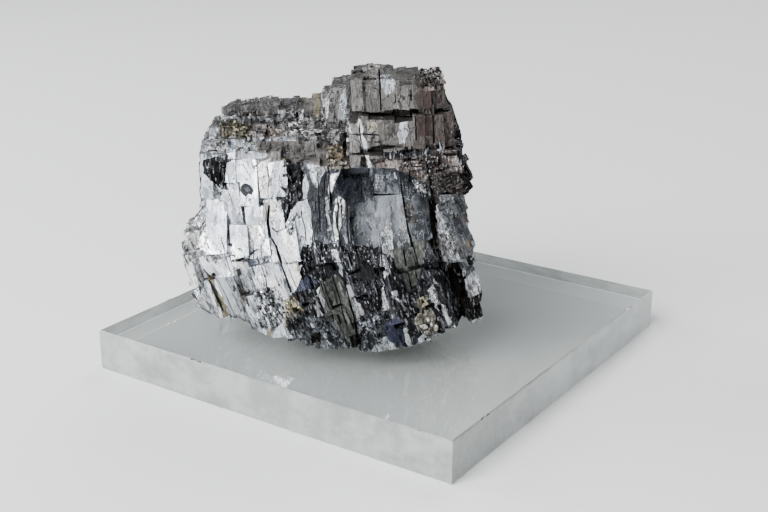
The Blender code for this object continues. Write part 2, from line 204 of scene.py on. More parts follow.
# Colours, linear, as the metal's reflection. The greys from WHITE down to PITCH are one metal painted lighter
# or
# darker: partly its own tone, partly painted reflection of bright and dark surroundings on faces turned
# different ways, and painted shade on faces turned from the light.
WHITE = (0.93, 0.94, 0.96)
SILVER = (0.68, 0.72, 0.78)
CREAM = (0.82, 0.80, 0.79)
PALE = (0.50, 0.52, 0.55)
PEWTER = (0.38, 0.39, 0.41)
MIST = (0.30, 0.325, 0.36)
GREY = (0.24, 0.235, 0.235)
STONE = (0.180, 0.172, 0.165)
SLATE = (0.095, 0.103, 0.115)
CHARCOAL = (0.052, 0.057, 0.066)
BLUE_BLACK = (0.018, 0.020, 0.027)
BLACK = (0.018, 0.019, 0.022)
PITCH = (0.006, 0.005, 0.004)
GREEN = (0.092, 0.097, 0.088)
HAZE = (0.36, 0.385, 0.43)
BROWN = (0.088, 0.073, 0.067)
RED_BROWN = (0.052, 0.037, 0.034)
ROSE = (0.195, 0.17, 0.158)
OLIVE = (0.125, 0.112, 0.072)
YELLOW = (0.25, 0.225, 0.15)
RUST = (0.42, 0.34, 0.24)
SAND = (0.33, 0.31, 0.255)
OCHRE = (0.25, 0.21, 0.15)
INDIGO = (0.060, 0.065, 0.100)

# What a stretch of surface is made of, with light and shade painted into its colour. Soil runs from 0, clean
# metal, to 1, dull. An outline is written as pairs of x and y, in pixels of the view.
Patch = namedtuple("Patch", "colour texture outline soil", defaults=("", 0.0))

# Ground that no patch covers, chosen by where a point lies.
GROUNDS = {
    "side_slate": (SLATE, LATHS, "", 0.1),
    "side_pewter": (PEWTER, LATHS),
    "side_stone": (STONE, CRAZED, "", 0.3),
    "underside": (GREY, CRAZED, "", 0.2),
    "terrace": (GREY, CRYSTALS, "", 0.3),
    "terrace_olive": (OLIVE, CRYSTALS, "", 0.5),
    "terrace_brown": (STONE, CRYSTALS, "", 0.4),
    "tower_grey": (GREY, COLUMNS, "", 0.2),
    "tower_brown": (BROWN, COLUMNS, "", 0.4),
}
GROUND_NAMES = list(GROUNDS)

# Patches laid over the ground and over one another in this order. Their greys are partly painted reflection,
# and those named glint are painted highlights.
PATCHES = {
    # The broad face on the left, painted bright: partly painted reflection of the light that it faces.
    "bright_face": (SILVER, PLATES, "196,156 230,158 284,157 287,180 283,197 292,205 312,200 314,240 "
        "306,262 300,285 284,302 290,340 258,338 222,330 190,308 170,270 172,230 196,205"),
    # lobe_rough is painted white partly as painted rim light along the lobe's edge.
    "lobe_rough": (WHITE, CRAZED, "176,226 198,212 212,224 211,250 203,264 196,282 178,270"),
    "lobe_foot": (SILVER, LATHS, "182,268 228,272 246,288 250,325 222,330 190,308"),
    "lath_foot": (SILVER, LATHS, "228,268 262,268 282,284 286,318 270,338 246,326 236,290"),
    "foot_grains": (PALE, GRAINS, "254,290 270,286 283,292 286,316 274,334 258,326"),
    "shoulder": (HAZE, SMOOTH, "204,186 216,192 226,204 232,222 228,244 216,250 208,236 205,212"),
    "pale_plate": (PALE, SOLID, "208,186 221,185 224,198 214,203 208,198"),
    "facet_1": (HAZE, SMOOTH, "212,206 226,202 236,208 240,222 230,232 216,220"),
    "facet_2": (PEWTER, SMOOTH, "240,204 252,206 257,220 250,232 244,226"),
    "facet_3": (PALE, SMOOTH, "232,240 240,236 250,244 252,262 246,276 238,262"),
    "facet_4": (PALE, SMOOTH, "212,268 222,272 232,292 240,314 232,316 220,292"),
    "pale_middle": (HAZE, SMOOTH, "226,222 240,215 262,217 262,234 246,240 236,244 226,238"),
    "blue_plate": (PALE, SOLID, "262,241 275,239 277,264 271,271 265,266"),
    "grey_plate": (PALE, SOLID, "238,246 246,250 244,264 237,271 235,258"),
    "white_plate": (WHITE, SOLID, "228,248 233,244 237,254 236,270 231,267"),
    "white_blob": (WHITE, SOLID, "211,253 218,251 222,257 219,264 213,263"),
    "white_right": (WHITE, PLATES, "277,235 286,231 296,241 297,260 302,280 294,292 287,274 281,256"),
    "white_plates": (SILVER, SOLID, "291,208 297,202 307,199 311,214 312,238 306,247 299,240 294,228"),
    "mottled": (PALE, GRAINS, "284,222 292,214 296,232 290,236 284,230", 0.1),
    "cream_upper": (CREAM, PLATES, "252,165 266,160 272,178 268,196 256,198"),
    "cream_plate": (CREAM, SOLID, "269,202 275,199 280,207 281,216 273,220 269,213"),
    "boxed_plate": (SILVER, SOLID, "272,222 281,219 282,229 278,231 273,228"),
    "brown_seam": (STONE, SOLID, "263,202 268,202 268,224 263,217", 0.3),
    "pale_columns_low": (PALE, LATHS, "248,226 262,224 268,238 250,244"),
    "black_left": (BLACK, SPLINTERS, "203,160 214,157 231,160 226,171 226,181 229,190 223,190 216,184 "
        "210,180 203,173", 0.1),
    "black_band": (SLATE, GRAINS, "214,155 240,157 242,160 216,161", 0.2),
    "black_right": (BLACK, SPLINTERS, "284,158 296,155 303,159 305,180 303,197 296,204 290,213 285,223 "
        "281,205 275,196 282,197 287,186 284,170", 0.1),
    "black_top": (BLACK, SPLINTERS, "272,151 302,152 303,162 290,164 276,158", 0.1),
    "ring_spot": (BLACK, SOLID, "241,186 244,183 248,184 251,186 254,190 252,195 248,194 246,197 242,194 "
        "240,190", 0.2),
    "ring_heart": (CHARCOAL, SOLID, "244,188 248,187 250,191 246,192"),
    "small_black_1": (BLACK, SOLID, "228,243 233,243 232,247 229,246", 0.2),
    "small_black_2": (BLACK, SOLID, "236,270 240,268 242,275 238,275", 0.2),
    "small_black_3": (STONE, SOLID, "268,180 273,178 272,186 268,187", 0.2),
    "lath_rust": (OLIVE, LATHS, "206,274 212,275 216,288 223,298 230,315 223,319 217,305 211,290", 0.6),
    "lath_rust_core": (BLACK, SOLID, "211,283 215,287 221,300 222,309 217,302", 0.4),
    "lath_grey": (STONE, LATHS, "238,284 243,286 248,300 244,316 240,302", 0.2),
    "foot_ochre": (OCHRE, SOLID, "283,317 290,316 293,326 289,332 285,327", 0.6),
    "foot_ochre_low": (OCHRE, SOLID, "267,330 272,331 271,338 267,337", 0.6),
    "crack_ochre": (OCHRE, SOLID, "295,262 298,264 303,274 302,278 297,270", 0.5),
    # Painted shade: the notches in the edge are painted black.
    "edge_notch_1": (BLACK, SOLID, "187,278 191,284 190,290 187,287", 0.1),
    "edge_notch_2": (BLACK, SOLID, "190,290 196,296 199,302 193,297", 0.1),
    # The middle: slate laths and mist above, dark crumbs below. The blue-greys are partly painted reflection
    # of dark surroundings.
    "slate_laths": (CHARCOAL, LATHS, "304,184 312,172 331,171 328,196 330,234 320,244 312,238 311,214"),
    "slate_middle": (CHARCOAL, SMOOTH, "331,168 385,168 428,172 430,214 428,252 392,256 345,246 332,240 "
        "328,196"),
    "mist_left": (MIST, SMOOTH, "357,214 366,202 378,198 386,206 386,222 380,246 366,245 357,234"),
    "mist_right": (MIST, SMOOTH, "374,190 380,176 392,186 404,188 418,198 424,214 427,248 412,252 402,240 "
        "393,230 388,206"),
    "slate_plate": (GREY, SOLID, "402,202 412,203 418,218 414,226 406,222 400,212"),
    "black_round": (BLUE_BLACK, SMOOTH, "332,187 337,176 346,169 357,168 362,178 361,194 356,208 349,208 "
        "343,199 337,196"),
    "slate_low": (SLATE, LATHS, "344,207 357,208 357,232 354,244 344,244 341,230"),
    "white_corner": (PALE, CRAZED, "307,162 318,165 326,170 322,176 317,188 312,182"),
    "white_fringe": (SILVER, SOLID, "303,180 306,176 309,186 307,198 303,199"),
    "white_slant": (WHITE, SOLID, "331,174 340,171 335,182 333,190 329,197 328,190"),
    "white_thin": (PALE, SOLID, "325,198 328,196 328,214 331,225 328,224 325,210"),
    "streak_left": (WHITE, SOLID, "335,200 337,198 337,212 336,224 339,238 336,241 333,226 334,212"),
    "streak_middle": (WHITE, SOLID, "338,196 341,197 341,226 339,232 338,222 339,210"),
    "streak_right": (WHITE, SOLID, "342,198 345,201 345,209 343,219 342,212"),
    "light_streak": (PEWTER, SOLID, "386,208 391,204 391,228 386,230"),
    "white_triangle": (PALE, CRAZED, "377,240 387,225 393,236 392,255 383,253"),
    "wisp": (PEWTER, SOLID, "398,214 402,217 412,240 409,244 402,234"),
    "stroke_1": (PEWTER, CRAZED, "366,236 368,230 370,252 368,262"),
    "stroke_2": (PALE, CRAZED, "388,236 391,228 393,252 391,270 388,262"),
    "stroke_3": (PEWTER, CRAZED, "398,234 400,230 404,252 403,270 400,262"),
    "stroke_4": (SLATE, LATHS, "370,168 373,168 374,190 372,202 369,190"),
    "stroke_5": (MIST, LATHS, "375,174 379,174 380,188 376,190"),
    "stroke_6": (BLACK, LATHS, "350,212 352,210 354,232 352,246 350,236"),
    "blue_glints": (PEWTER, GRAINS, "412,180 424,183 431,195 424,198 415,190"),
    "glint_stroke": (SILVER, SOLID, "393,173 395,172 397,179 395,179"),
    "dark_band": (BLACK, SPLINTERS, "303,246 318,240 333,243 350,244 372,246 382,254 394,258 412,252 "
        "430,256 434,285 426,296 430,322 424,346 352,352 300,346 288,332 284,306 300,286", 0.1),
    "grey_laths": (GREEN, LATHS, "390,250 405,246 413,262 418,288 408,292 397,268", 0.1),
    "green_upper": (GREEN, LATHS, "410,242 424,240 424,258 419,280 413,262", 0.3),
    "streak_low": (PALE, SOLID, "331,250 336,249 341,262 343,277 339,272 336,259"),
    "streak_mid": (PALE, CRAZED, "380,254 386,256 388,272 384,281 380,266"),
    "glint_lath": (WHITE, SOLID, "381,288 384,285 389,310 383,311"),
    "glint_box": (PALE, GRAINS, "391,292 399,290 400,303 396,299"),
    "green_laths": (GREEN, LATHS, "312,306 322,280 333,276 344,282 352,300 356,320 358,338 350,346 340,340 "
        "330,322 320,320", 0.3),
    "lath_grey_mid": (PEWTER, SOLID, "345,282 350,285 354,296 350,300 346,292", 0.1),
    "lath_pale_left": (PEWTER, CRAZED, "316,302 321,292 325,300 324,316 318,318", 0.1),
    "lath_purple": (PEWTER, LATHS, "350,300 357,297 365,313 363,323 357,319", 0.1),
    "box_black_1": (BLACK, SOLID, "355,264 374,266 375,279 357,281"),
    "box_black_2": (BLACK, SOLID, "324,257 335,262 338,274 328,277 324,268"),
    "glint_v": (SILVER, SOLID, "312,287 316,291 320,286 318,297 315,296"),
    "indigo_left": (INDIGO, CRAZED, "294,292 299,283 308,275 318,281 309,288 299,291"),
    "brown_crumbs": (OLIVE, GRAINS, "284,300 292,296 304,310 298,318 286,316", 0.4),
    "foot_slate": (SLATE, GRAINS, "296,330 312,318 330,322 352,345 340,350 300,346", 0.1),
    "foot_black": (PITCH, SOLID, "311,334 320,332 323,342 312,343"),
    "blue_crumbs": (SLATE, GRAINS, "357,318 372,312 384,318 380,340 366,352 356,346"),
    "foot_box": (PITCH, SOLID, "350,336 358,334 360,344 353,346"),
    "pale_foot": (PALE, CRAZED, "371,352 381,338 388,336 398,350"),
    "indigo_low": (INDIGO, SMOOTH, "383,323 392,318 401,321 406,340 402,347 390,342 385,332"),
    "white_lath_low": (WHITE, SOLID, "403,325 407,329 413,346 409,347 405,336"),
    "yellow_high": (YELLOW, CRYSTALS, "416,299 424,296 429,305 422,311 417,307", 0.5),
    "ochre_low": (SAND, CRYSTALS, "413,320 420,310 434,308 441,318 438,333 424,335", 0.5),
    "white_foot": (SILVER, SOLID, "417,340 423,334 428,337 420,345"),
    "foot_glints": (PEWTER, GRAINS, "424,338 438,332 456,326 456,332 426,345"),
    # The right flank, turned from the light: its dark browns and blacks are partly painted shade.
    "flank_low": (BLACK, SPLINTERS, "430,255 444,258 462,300 470,332 440,336 428,300", 0.1),
    "flank_top": (BROWN, LAYERS, "384,157 432,148 474,148 476,197 440,200 430,190 412,173 384,168", 0.4),
    "flank_rose": (ROSE, LAYERS, "448,158 462,157 464,168 450,171", 0.4),
    "flank_red": (RED_BROWN, LAYERS, "425,152 440,154 440,172 428,174", 0.4),
    "flank_grey": (PALE, CRAZED, "434,204 446,195 478,196 480,262 462,262 444,262 436,238", 0.1),
    "flank_mist": (MIST, SMOOTH, "452,216 460,218 472,232 466,238 456,230"),
    "flank_pink": (ROSE, SOLID, "459,215 470,212 474,222 464,224", 0.3),
    "flank_glint": (WHITE, CRAZED, "440,236 448,230 452,240 460,234 466,244 458,250 448,262 441,250"),
    "flank_white": (WHITE, SOLID, "452,236 458,235 460,240 454,240"),
    "flank_lath": (SILVER, SOLID, "444,250 448,248 453,260 449,262"),
    "flank_rust": (RUST, SOLID, "466,241 469,240 470,247 467,248", 0.5),
    # Painted shade: the deep pocket is painted pitch black.
    "pocket": (PITCH, SOLID, "447,265 458,262 465,280 468,298 460,304 456,300"),
    "pocket_low": (PITCH, SPLINTERS, "458,298 468,296 483,292 484,320 462,328", 0.2),
    "pocket_foot": (PEWTER, CRAZED, "462,324 482,317 482,324 462,331", 0.1),
    "small_block": (PALE, CRAZED, "463,268 478,268 483,280 482,292 474,296 466,284"),
    "small_block_dark": (SLATE, CRAZED, "464,268 474,264 479,268 470,274 467,282"),
    "glint_1": (WHITE, SOLID, "441,304 446,306 452,322 446,327 443,318"),
    "glint_2": (SILVER, CRAZED, "427,290 433,284 438,298 440,312 433,303"),
    "glint_3": (WHITE, SOLID, "433,279 437,277 438,284 434,284"),
    # Painted shade: the deep rift is painted pitch black.
    "rift": (PITCH, SOLID, "428,204 433,199 436,214 437,245 441,264 434,272 431,250 429,226"),
    # The terrace.
    "back_wall": (GREY, COLUMNS, "218,108 236,95 300,90 328,87 328,118 218,118", 0.1),
    "yellow_strip": (YELLOW, SOLID, "312,90 319,90 319,119 314,119", 0.4),
    # A thin white line painted along the top ridge: a painted highlight.
    "ridge_painted_highlight": (WHITE, SOLID, "276,94 300,90 323,88 323,92 300,95 278,98"),
    "purple_strip": (STONE, SOLID, "303,94 311,93 312,113 305,112", 0.3),
    "wall_grains": (PEWTER, CRYSTALS, "216,114 230,112 300,112 318,118 300,124 216,121", 0.1),
    "olive_band": (OLIVE, CRYSTALS, "208,128 222,122 240,121 250,128 247,138 228,136 212,139", 0.6),
    "olive_flecks": (YELLOW, CRYSTALS, "210,142 222,140 224,148 212,150", 0.5),
    "rose_band": (ROSE, CRYSTALS, "240,112 262,110 270,118 244,119", 0.4),
    "brown_band": (ROSE, CRYSTALS, "250,128 270,124 285,130 280,138 252,138", 0.5),
    "speckled": (GREY, CRYSTALS, "284,118 350,118 350,144 300,146 284,138", 0.2),
    "left_slope": (PALE, LAYERS, "196,158 204,136 216,122 224,140 224,158", 0.15),
    "bright_line": (SILVER, SOLID, "252,137 296,136 296,141 254,141"),
    "grey_wall": (STONE, COLUMNS, "254,141 326,141 326,170 306,162 254,160", 0.3),
    "pale_columns": (PALE, COLUMNS, "225,139 256,140 256,158 226,158"),
    "white_column": (SILVER, SOLID, "226,140 234,139 233,156 226,157"),
    "bright_lip": (SILVER, SOLID, "247,152 268,153 266,158 248,159"),
    "olive_spot": (SAND, CRYSTALS, "322,157 346,156 351,167 330,169", 0.5),
    "rust_spot": (RUST, CRYSTALS, "326,146 338,144 347,150 344,160 330,159", 0.5),
    # The tower.
    "step_columns": (GREY, COLUMNS, "325,92 332,78 346,72 352,72 352,121 326,121"),
    "step_white_1": (WHITE, SOLID, "322,105 327,91 328,95 327,119 321,120"),
    "step_white_2": (SILVER, SOLID, "341,96 346,86 347,119 338,119 339,108"),
    "tower_left": (STONE, COLUMNS, "351,66 378,62 378,110 384,158 352,164", 0.2),
    "tower_middle": (STONE, PLATES, "376,62 420,62 418,110 414,152 382,158 378,110", 0.1),
    "tower_right": (BROWN, COLUMNS, "414,62 446,62 452,96 450,150 414,152 416,108", 0.3),
    "tower_crest": (BROWN, GRAINS, "418,62 442,64 448,84 440,92 420,88", 0.4),
    "tower_light": (PALE, CRAZED, "379,76 388,73 396,80 394,91 386,95 381,86"),
    "tower_red_1": (RED_BROWN, SOLID, "421,91 431,90 432,108 422,108", 0.4),
    "tower_red_2": (RED_BROWN, SOLID, "416,116 432,117 432,136 418,137", 0.4),
    "tower_plate": (GREY, SOLID, "396,97 402,93 409,95 409,110 397,110"),
    "tower_round": (SILVER, SOLID, "400,123 408,120 409,131 405,143 399,144 397,134"),
    "tower_slant": (WHITE, SOLID, "357,119 361,119 366,140 371,163 367,166 361,145"),
    "tower_rust": (SAND, SOLID, "366,120 375,122 377,131 369,132", 0.5),
    "tower_glint": (PALE, GRAINS, "434,143 444,141 444,151 436,151"),
    # Painted shade: the notch and the cracks across the tower are painted black.
    "tower_notch": (PITCH, SOLID, "361,156 366,157 366,168 360,166", 0.2),
    "tower_crack_1": (PITCH, SOLID, "366,113 402,111.5 434,109 434,112 402,114 376,115", 0.2),
    "tower_crack_2": (BLACK, GRAINS, "382,152 402,150 430,148 430,155 384,160", 0.2),
    "tower_rose": (ROSE, SOLID, "386,160 402,160 400,167 388,167", 0.3),
    # Painted shade: the tower's right side and the strip beside it, turned from the light, are painted near
    # black.
    "tower_shade": (BLACK, LAYERS, "447,84 458,108 470,150 456,152 450,120", 0.3),
    "flank_painted_shade": (BLACK, SPLINTERS, "456,150 468,148 476,170 480,206 471,206 466,178", 0.2),
}

# The lump's edge in the same view. What stands out past it is cut away.
SILHOUETTE = (
    "222,108 234,100 264,97 299,93 322,90 329,79 349,74 353,65 372,63 392,65 420,63 437,65 446,77 448,95 "
    "453,112 463,140 472,164 475,202 478,236 473,253 479,271 482,288 481,323 462,330 451,334 420,345 "
    "401,348 367,354 353,347 325,348 300,345 281,341 267,336 253,326 244,319 229,317 218,319 201,309 "
    "186,288 180,257 182,236 189,219 198,215 201,202 200,171 200,153 206,133"
)

# Named cracks along a line in the same view, with width and depth in millimetres.
CRACKS = {
    "long_crack": ("269,206 268,222 270,236 276,246 281,262 287,280 291,292", 0.26, 1.0),
    "upper_seam": ("267,164 269,178 268,192 269,206", 0.14, 0.7),
    "upper_slant": ("243,164 247,171 251,179", 0.12, 0.5),
    "upper_hook": ("228,192 231,198 233,206", 0.12, 0.5),
    "left_of_long": ("261,246 264,262 266,280 268,300 271,318", 0.16, 0.8),
    "second_left": ("253,240 257,258 260,276 263,296 267,316", 0.12, 0.6),
    "third_left": ("238,274 243,288 247,300 251,314", 0.14, 0.6),
    "fourth_left": ("221,238 225,252 229,268 231,275", 0.13, 0.6),
    "fifth_left": ("212,266 219,282 227,298 235,316", 0.13, 0.6),
    "lobe_crack": ("204,270 210,282 216,296 223,310 227,318", 0.2, 0.8),
    "lobe_left": ("189,230 192,242 195,254 197,264", 0.14, 0.6),
    "lobe_right": ("202,222 205,232 208,246", 0.12, 0.5),
    "slanting": ("246,265 250,256 256,250", 0.16, 0.6),
    "bright_edge": ("297,262 301,272 304,279", 0.18, 0.8),
    "white_split": ("284,258 289,270 294,282 298,290", 0.13, 0.7),
    "plates_split": ("301,206 302,218 305,228 306,240", 0.14, 0.7),
    "under_dark": ("272,228 277,232 283,229", 0.16, 0.7),
    "slate_1": ("318,176 319,200 320,230", 0.12, 0.5),
    "slate_2": ("325,176 324,196 326,234", 0.12, 0.5),
    "slate_3": ("347,209 347,226 349,243", 0.12, 0.5),
    "slate_4": ("361,170 362,184 361,202", 0.12, 0.4),
    "dark_lath_1": ("321,284 326,298 333,318", 0.16, 0.8),
    "dark_lath_2": ("333,278 339,298 346,322", 0.16, 0.8),
    "dark_lath_3": ("345,284 351,306 358,336", 0.2, 0.8),
    "dark_lath_4": ("381,246 383,268 385,292", 0.14, 0.7),
    "dark_lath_5": ("404,252 408,272 413,296", 0.14, 0.7),
    "dark_lath_6": ("394,262 397,282 402,306", 0.14, 0.7),
    "step_edge": ("334,82 334,100 335,118", 0.13, 0.6),
    "step_tower": ("350,76 350,96 351,120", 0.2, 0.9),
    "tower_left": ("359,124 361,140 365,158", 0.16, 0.7),
    "tower_high_left": ("364,68 365,88 365,109", 0.12, 0.6),
    "tower_middle": ("379,70 380,90 381,109", 0.14, 0.6),
    "tower_plate": ("395,94 396,102 396,110", 0.14, 0.6),
    "tower_plate_right": ("411,90 411,100 411,109", 0.14, 0.6),
    "tower_cross": ("350,134 362,134 378,135", 0.14, 0.5),
    "tower_cross_low": ("368,142 374,142 380,142", 0.12, 0.5),
    "tower_small": ("374,134 374,142", 0.12, 0.5),
    "tower_right": ("415,116 416,128 416,140", 0.16, 0.7),
    "tower_far_right": ("432,92 433,116 434,142", 0.18, 0.8),
    "flank_1": ("438,178 452,176 466,178", 0.2, 0.7),
    "flank_2": ("440,186 454,188 468,186", 0.18, 0.7),
    "flank_3": ("442,194 456,193 470,196", 0.18, 0.7),
    "flank_4": ("430,170 446,168 466,171", 0.16, 0.6),
    "flank_5": ("408,152 409,168 410,182", 0.14, 0.6),
    "flank_lath": ("444,262 450,284 457,308", 0.16, 0.7),
}


def points_of(outline):
    """The points of a written outline."""
    return [tuple(float(number) for number in pair.split(",")) for pair in outline.split()]


def sides_of(outline):
    """Each corner of a closed outline with the one that follows it."""
    return zip(outline, outline[1:] + outline[:1])


def roughened(outline, draw):
    """An outline with its long sides broken into short ones that wander, as cleavage breaks."""
    broken = []
    for start, end in sides_of(outline):
        start, end = np.array(start), np.array(end)
        steps = max(1, round(np.linalg.norm(end - start) / LONGEST_SIDE))
        out = np.array([end[1] - start[1], start[0] - end[0]]) / steps
        broken.append(tuple(start))
        for step in range(1, steps):
            broken.append(tuple(start + (end - start) * step / steps + out * draw.normal(0.0, JAG)))
    return broken


def wavered(outline, draw):
    """The outline with closer points, each moved a little in or out from its middle."""
    middle = np.mean(outline, axis=0)
    points = []
    for start, end in sides_of(outline):
        pieces = math.ceil(math.dist(start, end) / LONGEST_SIDE)
        for i in range(pieces):
            point = np.array(start) + (np.array(end) - start) * i / pieces
            points.append(tuple(middle + (point - middle) * (1.0 + draw.uniform(-WAVER, WAVER))))
    return points


outline_draw = np.random.default_rng(SEED + 1)
KINDS = [Patch(*row) for row in [*GROUNDS.values(), *PATCHES.values()]]
KINDS = [kind._replace(outline=roughened(points_of(kind.outline), outline_draw)) for kind in KINDS]
EDGE = wavered(points_of(SILHOUETTE), outline_draw)


# The scene's own pieces.


def new_object(name, data):
    thing = bpy.data.objects.new(name, data)
    bpy.context.scene.collection.objects.link(thing)
    return thing


def object_of(form, name):
    """A bmesh as an object of the scene."""
    mesh = bpy.data.meshes.new(name)
    form.to_mesh(mesh)
    return new_object(name, mesh)


def direction(azimuth, elevation):
    """From the lump towards a camera or a light, from angles in degrees."""
    turn, rise = math.radians(azimuth), math.radians(elevation)
    return Vector((math.sin(turn) * math.cos(rise), -math.cos(turn) * math.cos(rise), math.sin(rise)))


def aim(thing, place, back):
    """Puts a camera or a light at a place, facing away from back."""
    thing.location = place
    thing.rotation_mode = "QUATERNION"
    thing.rotation_quaternion = back.to_track_quat("Z", "Y")


def camera_axes():
    azimuth = math.radians(CAMERA_AZIMUTH)
    right = Vector((math.cos(azimuth), math.sin(azimuth), 0.0))
    back = direction(CAMERA_AZIMUTH, CAMERA_ELEVATION)
    return right, back.cross(right), back


def camera_place():
    return (Vector(CAMERA_TARGET) + camera_axes()[2] * CAMERA_DISTANCE) * MM


def store(mesh, name, kind, domain, values):
    """Writes values to a mesh as an attribute, in place of any of that name."""
    if name in mesh.attributes:
        mesh.attributes.remove(mesh.attributes[name])
    attribute = mesh.attributes.new(name, kind, domain)
    field = {"FLOAT_COLOR": "color", "FLOAT_VECTOR": "vector"}.get(kind, "value")
    attribute.data.foreach_set(field, values.astype(np.int32 if kind == "INT" else np.float32).ravel())


def read(items, name, size=1, kind=float):
    """One property of every item, as an array."""
    values = np.empty(len(items) * size, kind)
    items.foreach_get(name, values)
    return values.reshape(-1, size) if size > 1 else values


# The lump and the view of it.


class Lump:
    """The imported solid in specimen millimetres, trimmed to the silhouette, and what is looked up on it."""

    def __init__(self, node):
        place = Matrix.Translation((0.0, 0.0, PLATE_TOP * MM))
        self.to_world = place @ Matrix.Rotation(SPECIMEN_TURN, 4, "Z") @ Matrix.Scale(MM, 4)
        to_specimen = self.to_world.inverted()
        turn = to_specimen.to_3x3().normalized()
        self.axes = np.array([(turn @ axis)[:] for axis in camera_axes()])
        self.eye = to_specimen @ camera_place()
        self.form = bmesh.new()
        self.form.from_mesh(node.data)
        bmesh.ops.transform(self.form, matrix=to_specimen @ node.matrix_world, verts=self.form.verts)
        bmesh.ops.remove_doubles(self.form, verts=self.form.verts, dist=WELD)
        self.triangulate()
        bmesh.ops.recalc_face_normals(self.form, faces=self.form.faces)
        self.top = max(vert.co.z for vert in self.form.verts)
        trimmed = object_of(self.form, "trimmed")
        cut_away(trimmed, rim_cutter(self))
        self.take(trimmed.data)
        bpy.data.objects.remove(trimmed)
        largest_shell(self.form)
        self.triangulate()
        self.tree = BVHTree.FromBMesh(self.form)
        self.measure()

    def take(self, mesh):
        self.form.clear()
        self.form.from_mesh(mesh)

    def triangulate(self):
        bmesh.ops.triangulate(self.form, faces=self.form.faces)

    def measure(self):
        """Reads the form's points and triangles into arrays."""
        self.points = np.array([vert.co[:] for vert in self.form.verts])
        self.form.verts.index_update()
        self.faces = np.array([[vert.index for vert in face.verts] for face in self.form.faces])
        corners = self.points[self.faces]
        cross = np.cross(corners[:, 1] - corners[:, 0], corners[:, 2] - corners[:, 0])
        self.areas = np.linalg.norm(cross, axis=1) / 2
        self.normals = cross / np.maximum(2 * self.areas[:, None], TINY)

    def ray(self, x, y):
        """Direction from the eye through a pixel of the view."""
        right, up, back = self.axes
        return right * (x - IMAGE_SIZE[0] / 2) - up * (y - IMAGE_SIZE[1] / 2) - back * FOCAL_PIXELS

    def at_pixel(self, x, y):
        """Point and normal of the surface that a pixel of the view shows."""
        point, normal, _, _ = self.tree.ray_cast(self.eye, Vector(self.ray(x, y)).normalized())
        return point, normal

    def pixels(self, points):
        """The pixels of the view on which points fall."""
        right, up, back = ((points - np.array(self.eye)) @ self.axes.T).T
        x = IMAGE_SIZE[0] / 2 - FOCAL_PIXELS * right / back
        y = IMAGE_SIZE[1] / 2 + FOCAL_PIXELS * up / back
        return np.stack([x, y], axis=-1)

    def in_sight(self, points, slack=0.7):
        """Whether each point is on the side that the view shows, or no deeper than slack behind it in mm."""
        seen = np.zeros(len(points), bool)
        for i, point in enumerate(points):
            away = Vector(point) - self.eye
            hit = self.tree.ray_cast(self.eye, away.normalized())
            seen[i] = hit[0] is None or hit[3] > away.length - slack
        return seen

    def scatter(self, count, draw):
        """Random points over the whole surface, as (points, normals)."""
        pick = draw.choice(len(self.faces), count, p=self.areas / self.areas.sum())
        share = draw.random((count, 2))
        over = share.sum(axis=1) > 1.0
        share[over] = 1.0 - share[over]
        a, b, c = self.points[self.faces[pick]].transpose(1, 0, 2)
        return a + share[:, :1] * (b - a) + share[:, 1:] * (c - a), self.normals[pick]

    def strays(self, points):
        """How far the furthest of some points is from the surface."""
        return max(self.tree.find_nearest(Vector(point))[3] for point in points)

    def relief(self, points):
        """Signed height of points over the solid's surface: positive outside, negative inside."""
        heights = np.zeros(len(points))
        for i, point in enumerate(points):
            near, normal, _, distance = self.tree.find_nearest(Vector(point))
            heights[i] = distance if (Vector(point) - near).dot(normal) > 0 else -distance
        return heights


def within(outline, pixels):
    """Which pixels lie inside a closed outline."""
    x, y = pixels[:, 0], pixels[:, 1]
    held = np.zeros(len(pixels), bool)
    for (x0, y0), (x1, y1) in sides_of(outline):
        if y0 != y1:
            held ^= ((y0 > y) != (y1 > y)) & (x < (x1 - x0) * (y - y0) / (y1 - y0) + x0)
    return held


def ground_at(points, normals):
    """The ground each point has by its place alone, as an index into KINDS."""
    x, _, z = points.T
    up = normals[:, 2]
    field = np.array([noise.noise(Vector(point) * FIELD_SCALE) for point in points])
    fleck = np.array([noise.noise(Vector(point) * FLECK_SCALE + FLECK_SHIFT) for point in points])
    high = z + FLECK_LIFT * fleck + FIELD_LIFT * field > HIGH_GROUND
    terrace = high & (x < TERRACE_END)
    tower = high & ~terrace
    ground = np.full(len(points), GROUND_NAMES.index("side_slate"))
    # The grounds part where the fields reach these values. A later rule overrules an earlier one.
    for name, rule in (
        ("side_pewter", field > 0.05),
        ("side_stone", field + 0.6 * fleck < -0.32),
        ("terrace", terrace),
        ("terrace_olive", terrace & (field + 0.4 * fleck > 0.12) & (up > OLIVE_SLOPE)),
        ("terrace_brown", terrace & (field + 0.4 * fleck < -0.15)),
        ("tower_grey", tower),
        ("tower_brown", tower & (field + 0.5 * fleck > 0.02)),
        ("underside", (up < UNDERSIDE_SLOPE) & (z < UNDERSIDE_TOP)),
    ):
        ground[rule] = GROUND_NAMES.index(name)
    return ground


def kinds_at(lump, points, normals, seen):
    """What the surface is made of at each point, as an index into KINDS."""
    kinds = ground_at(points, normals)
    pixels = lump.pixels(points)
    for index, patch in enumerate(KINDS):
        kinds[seen & within(patch.outline, pixels)] = index
    return kinds


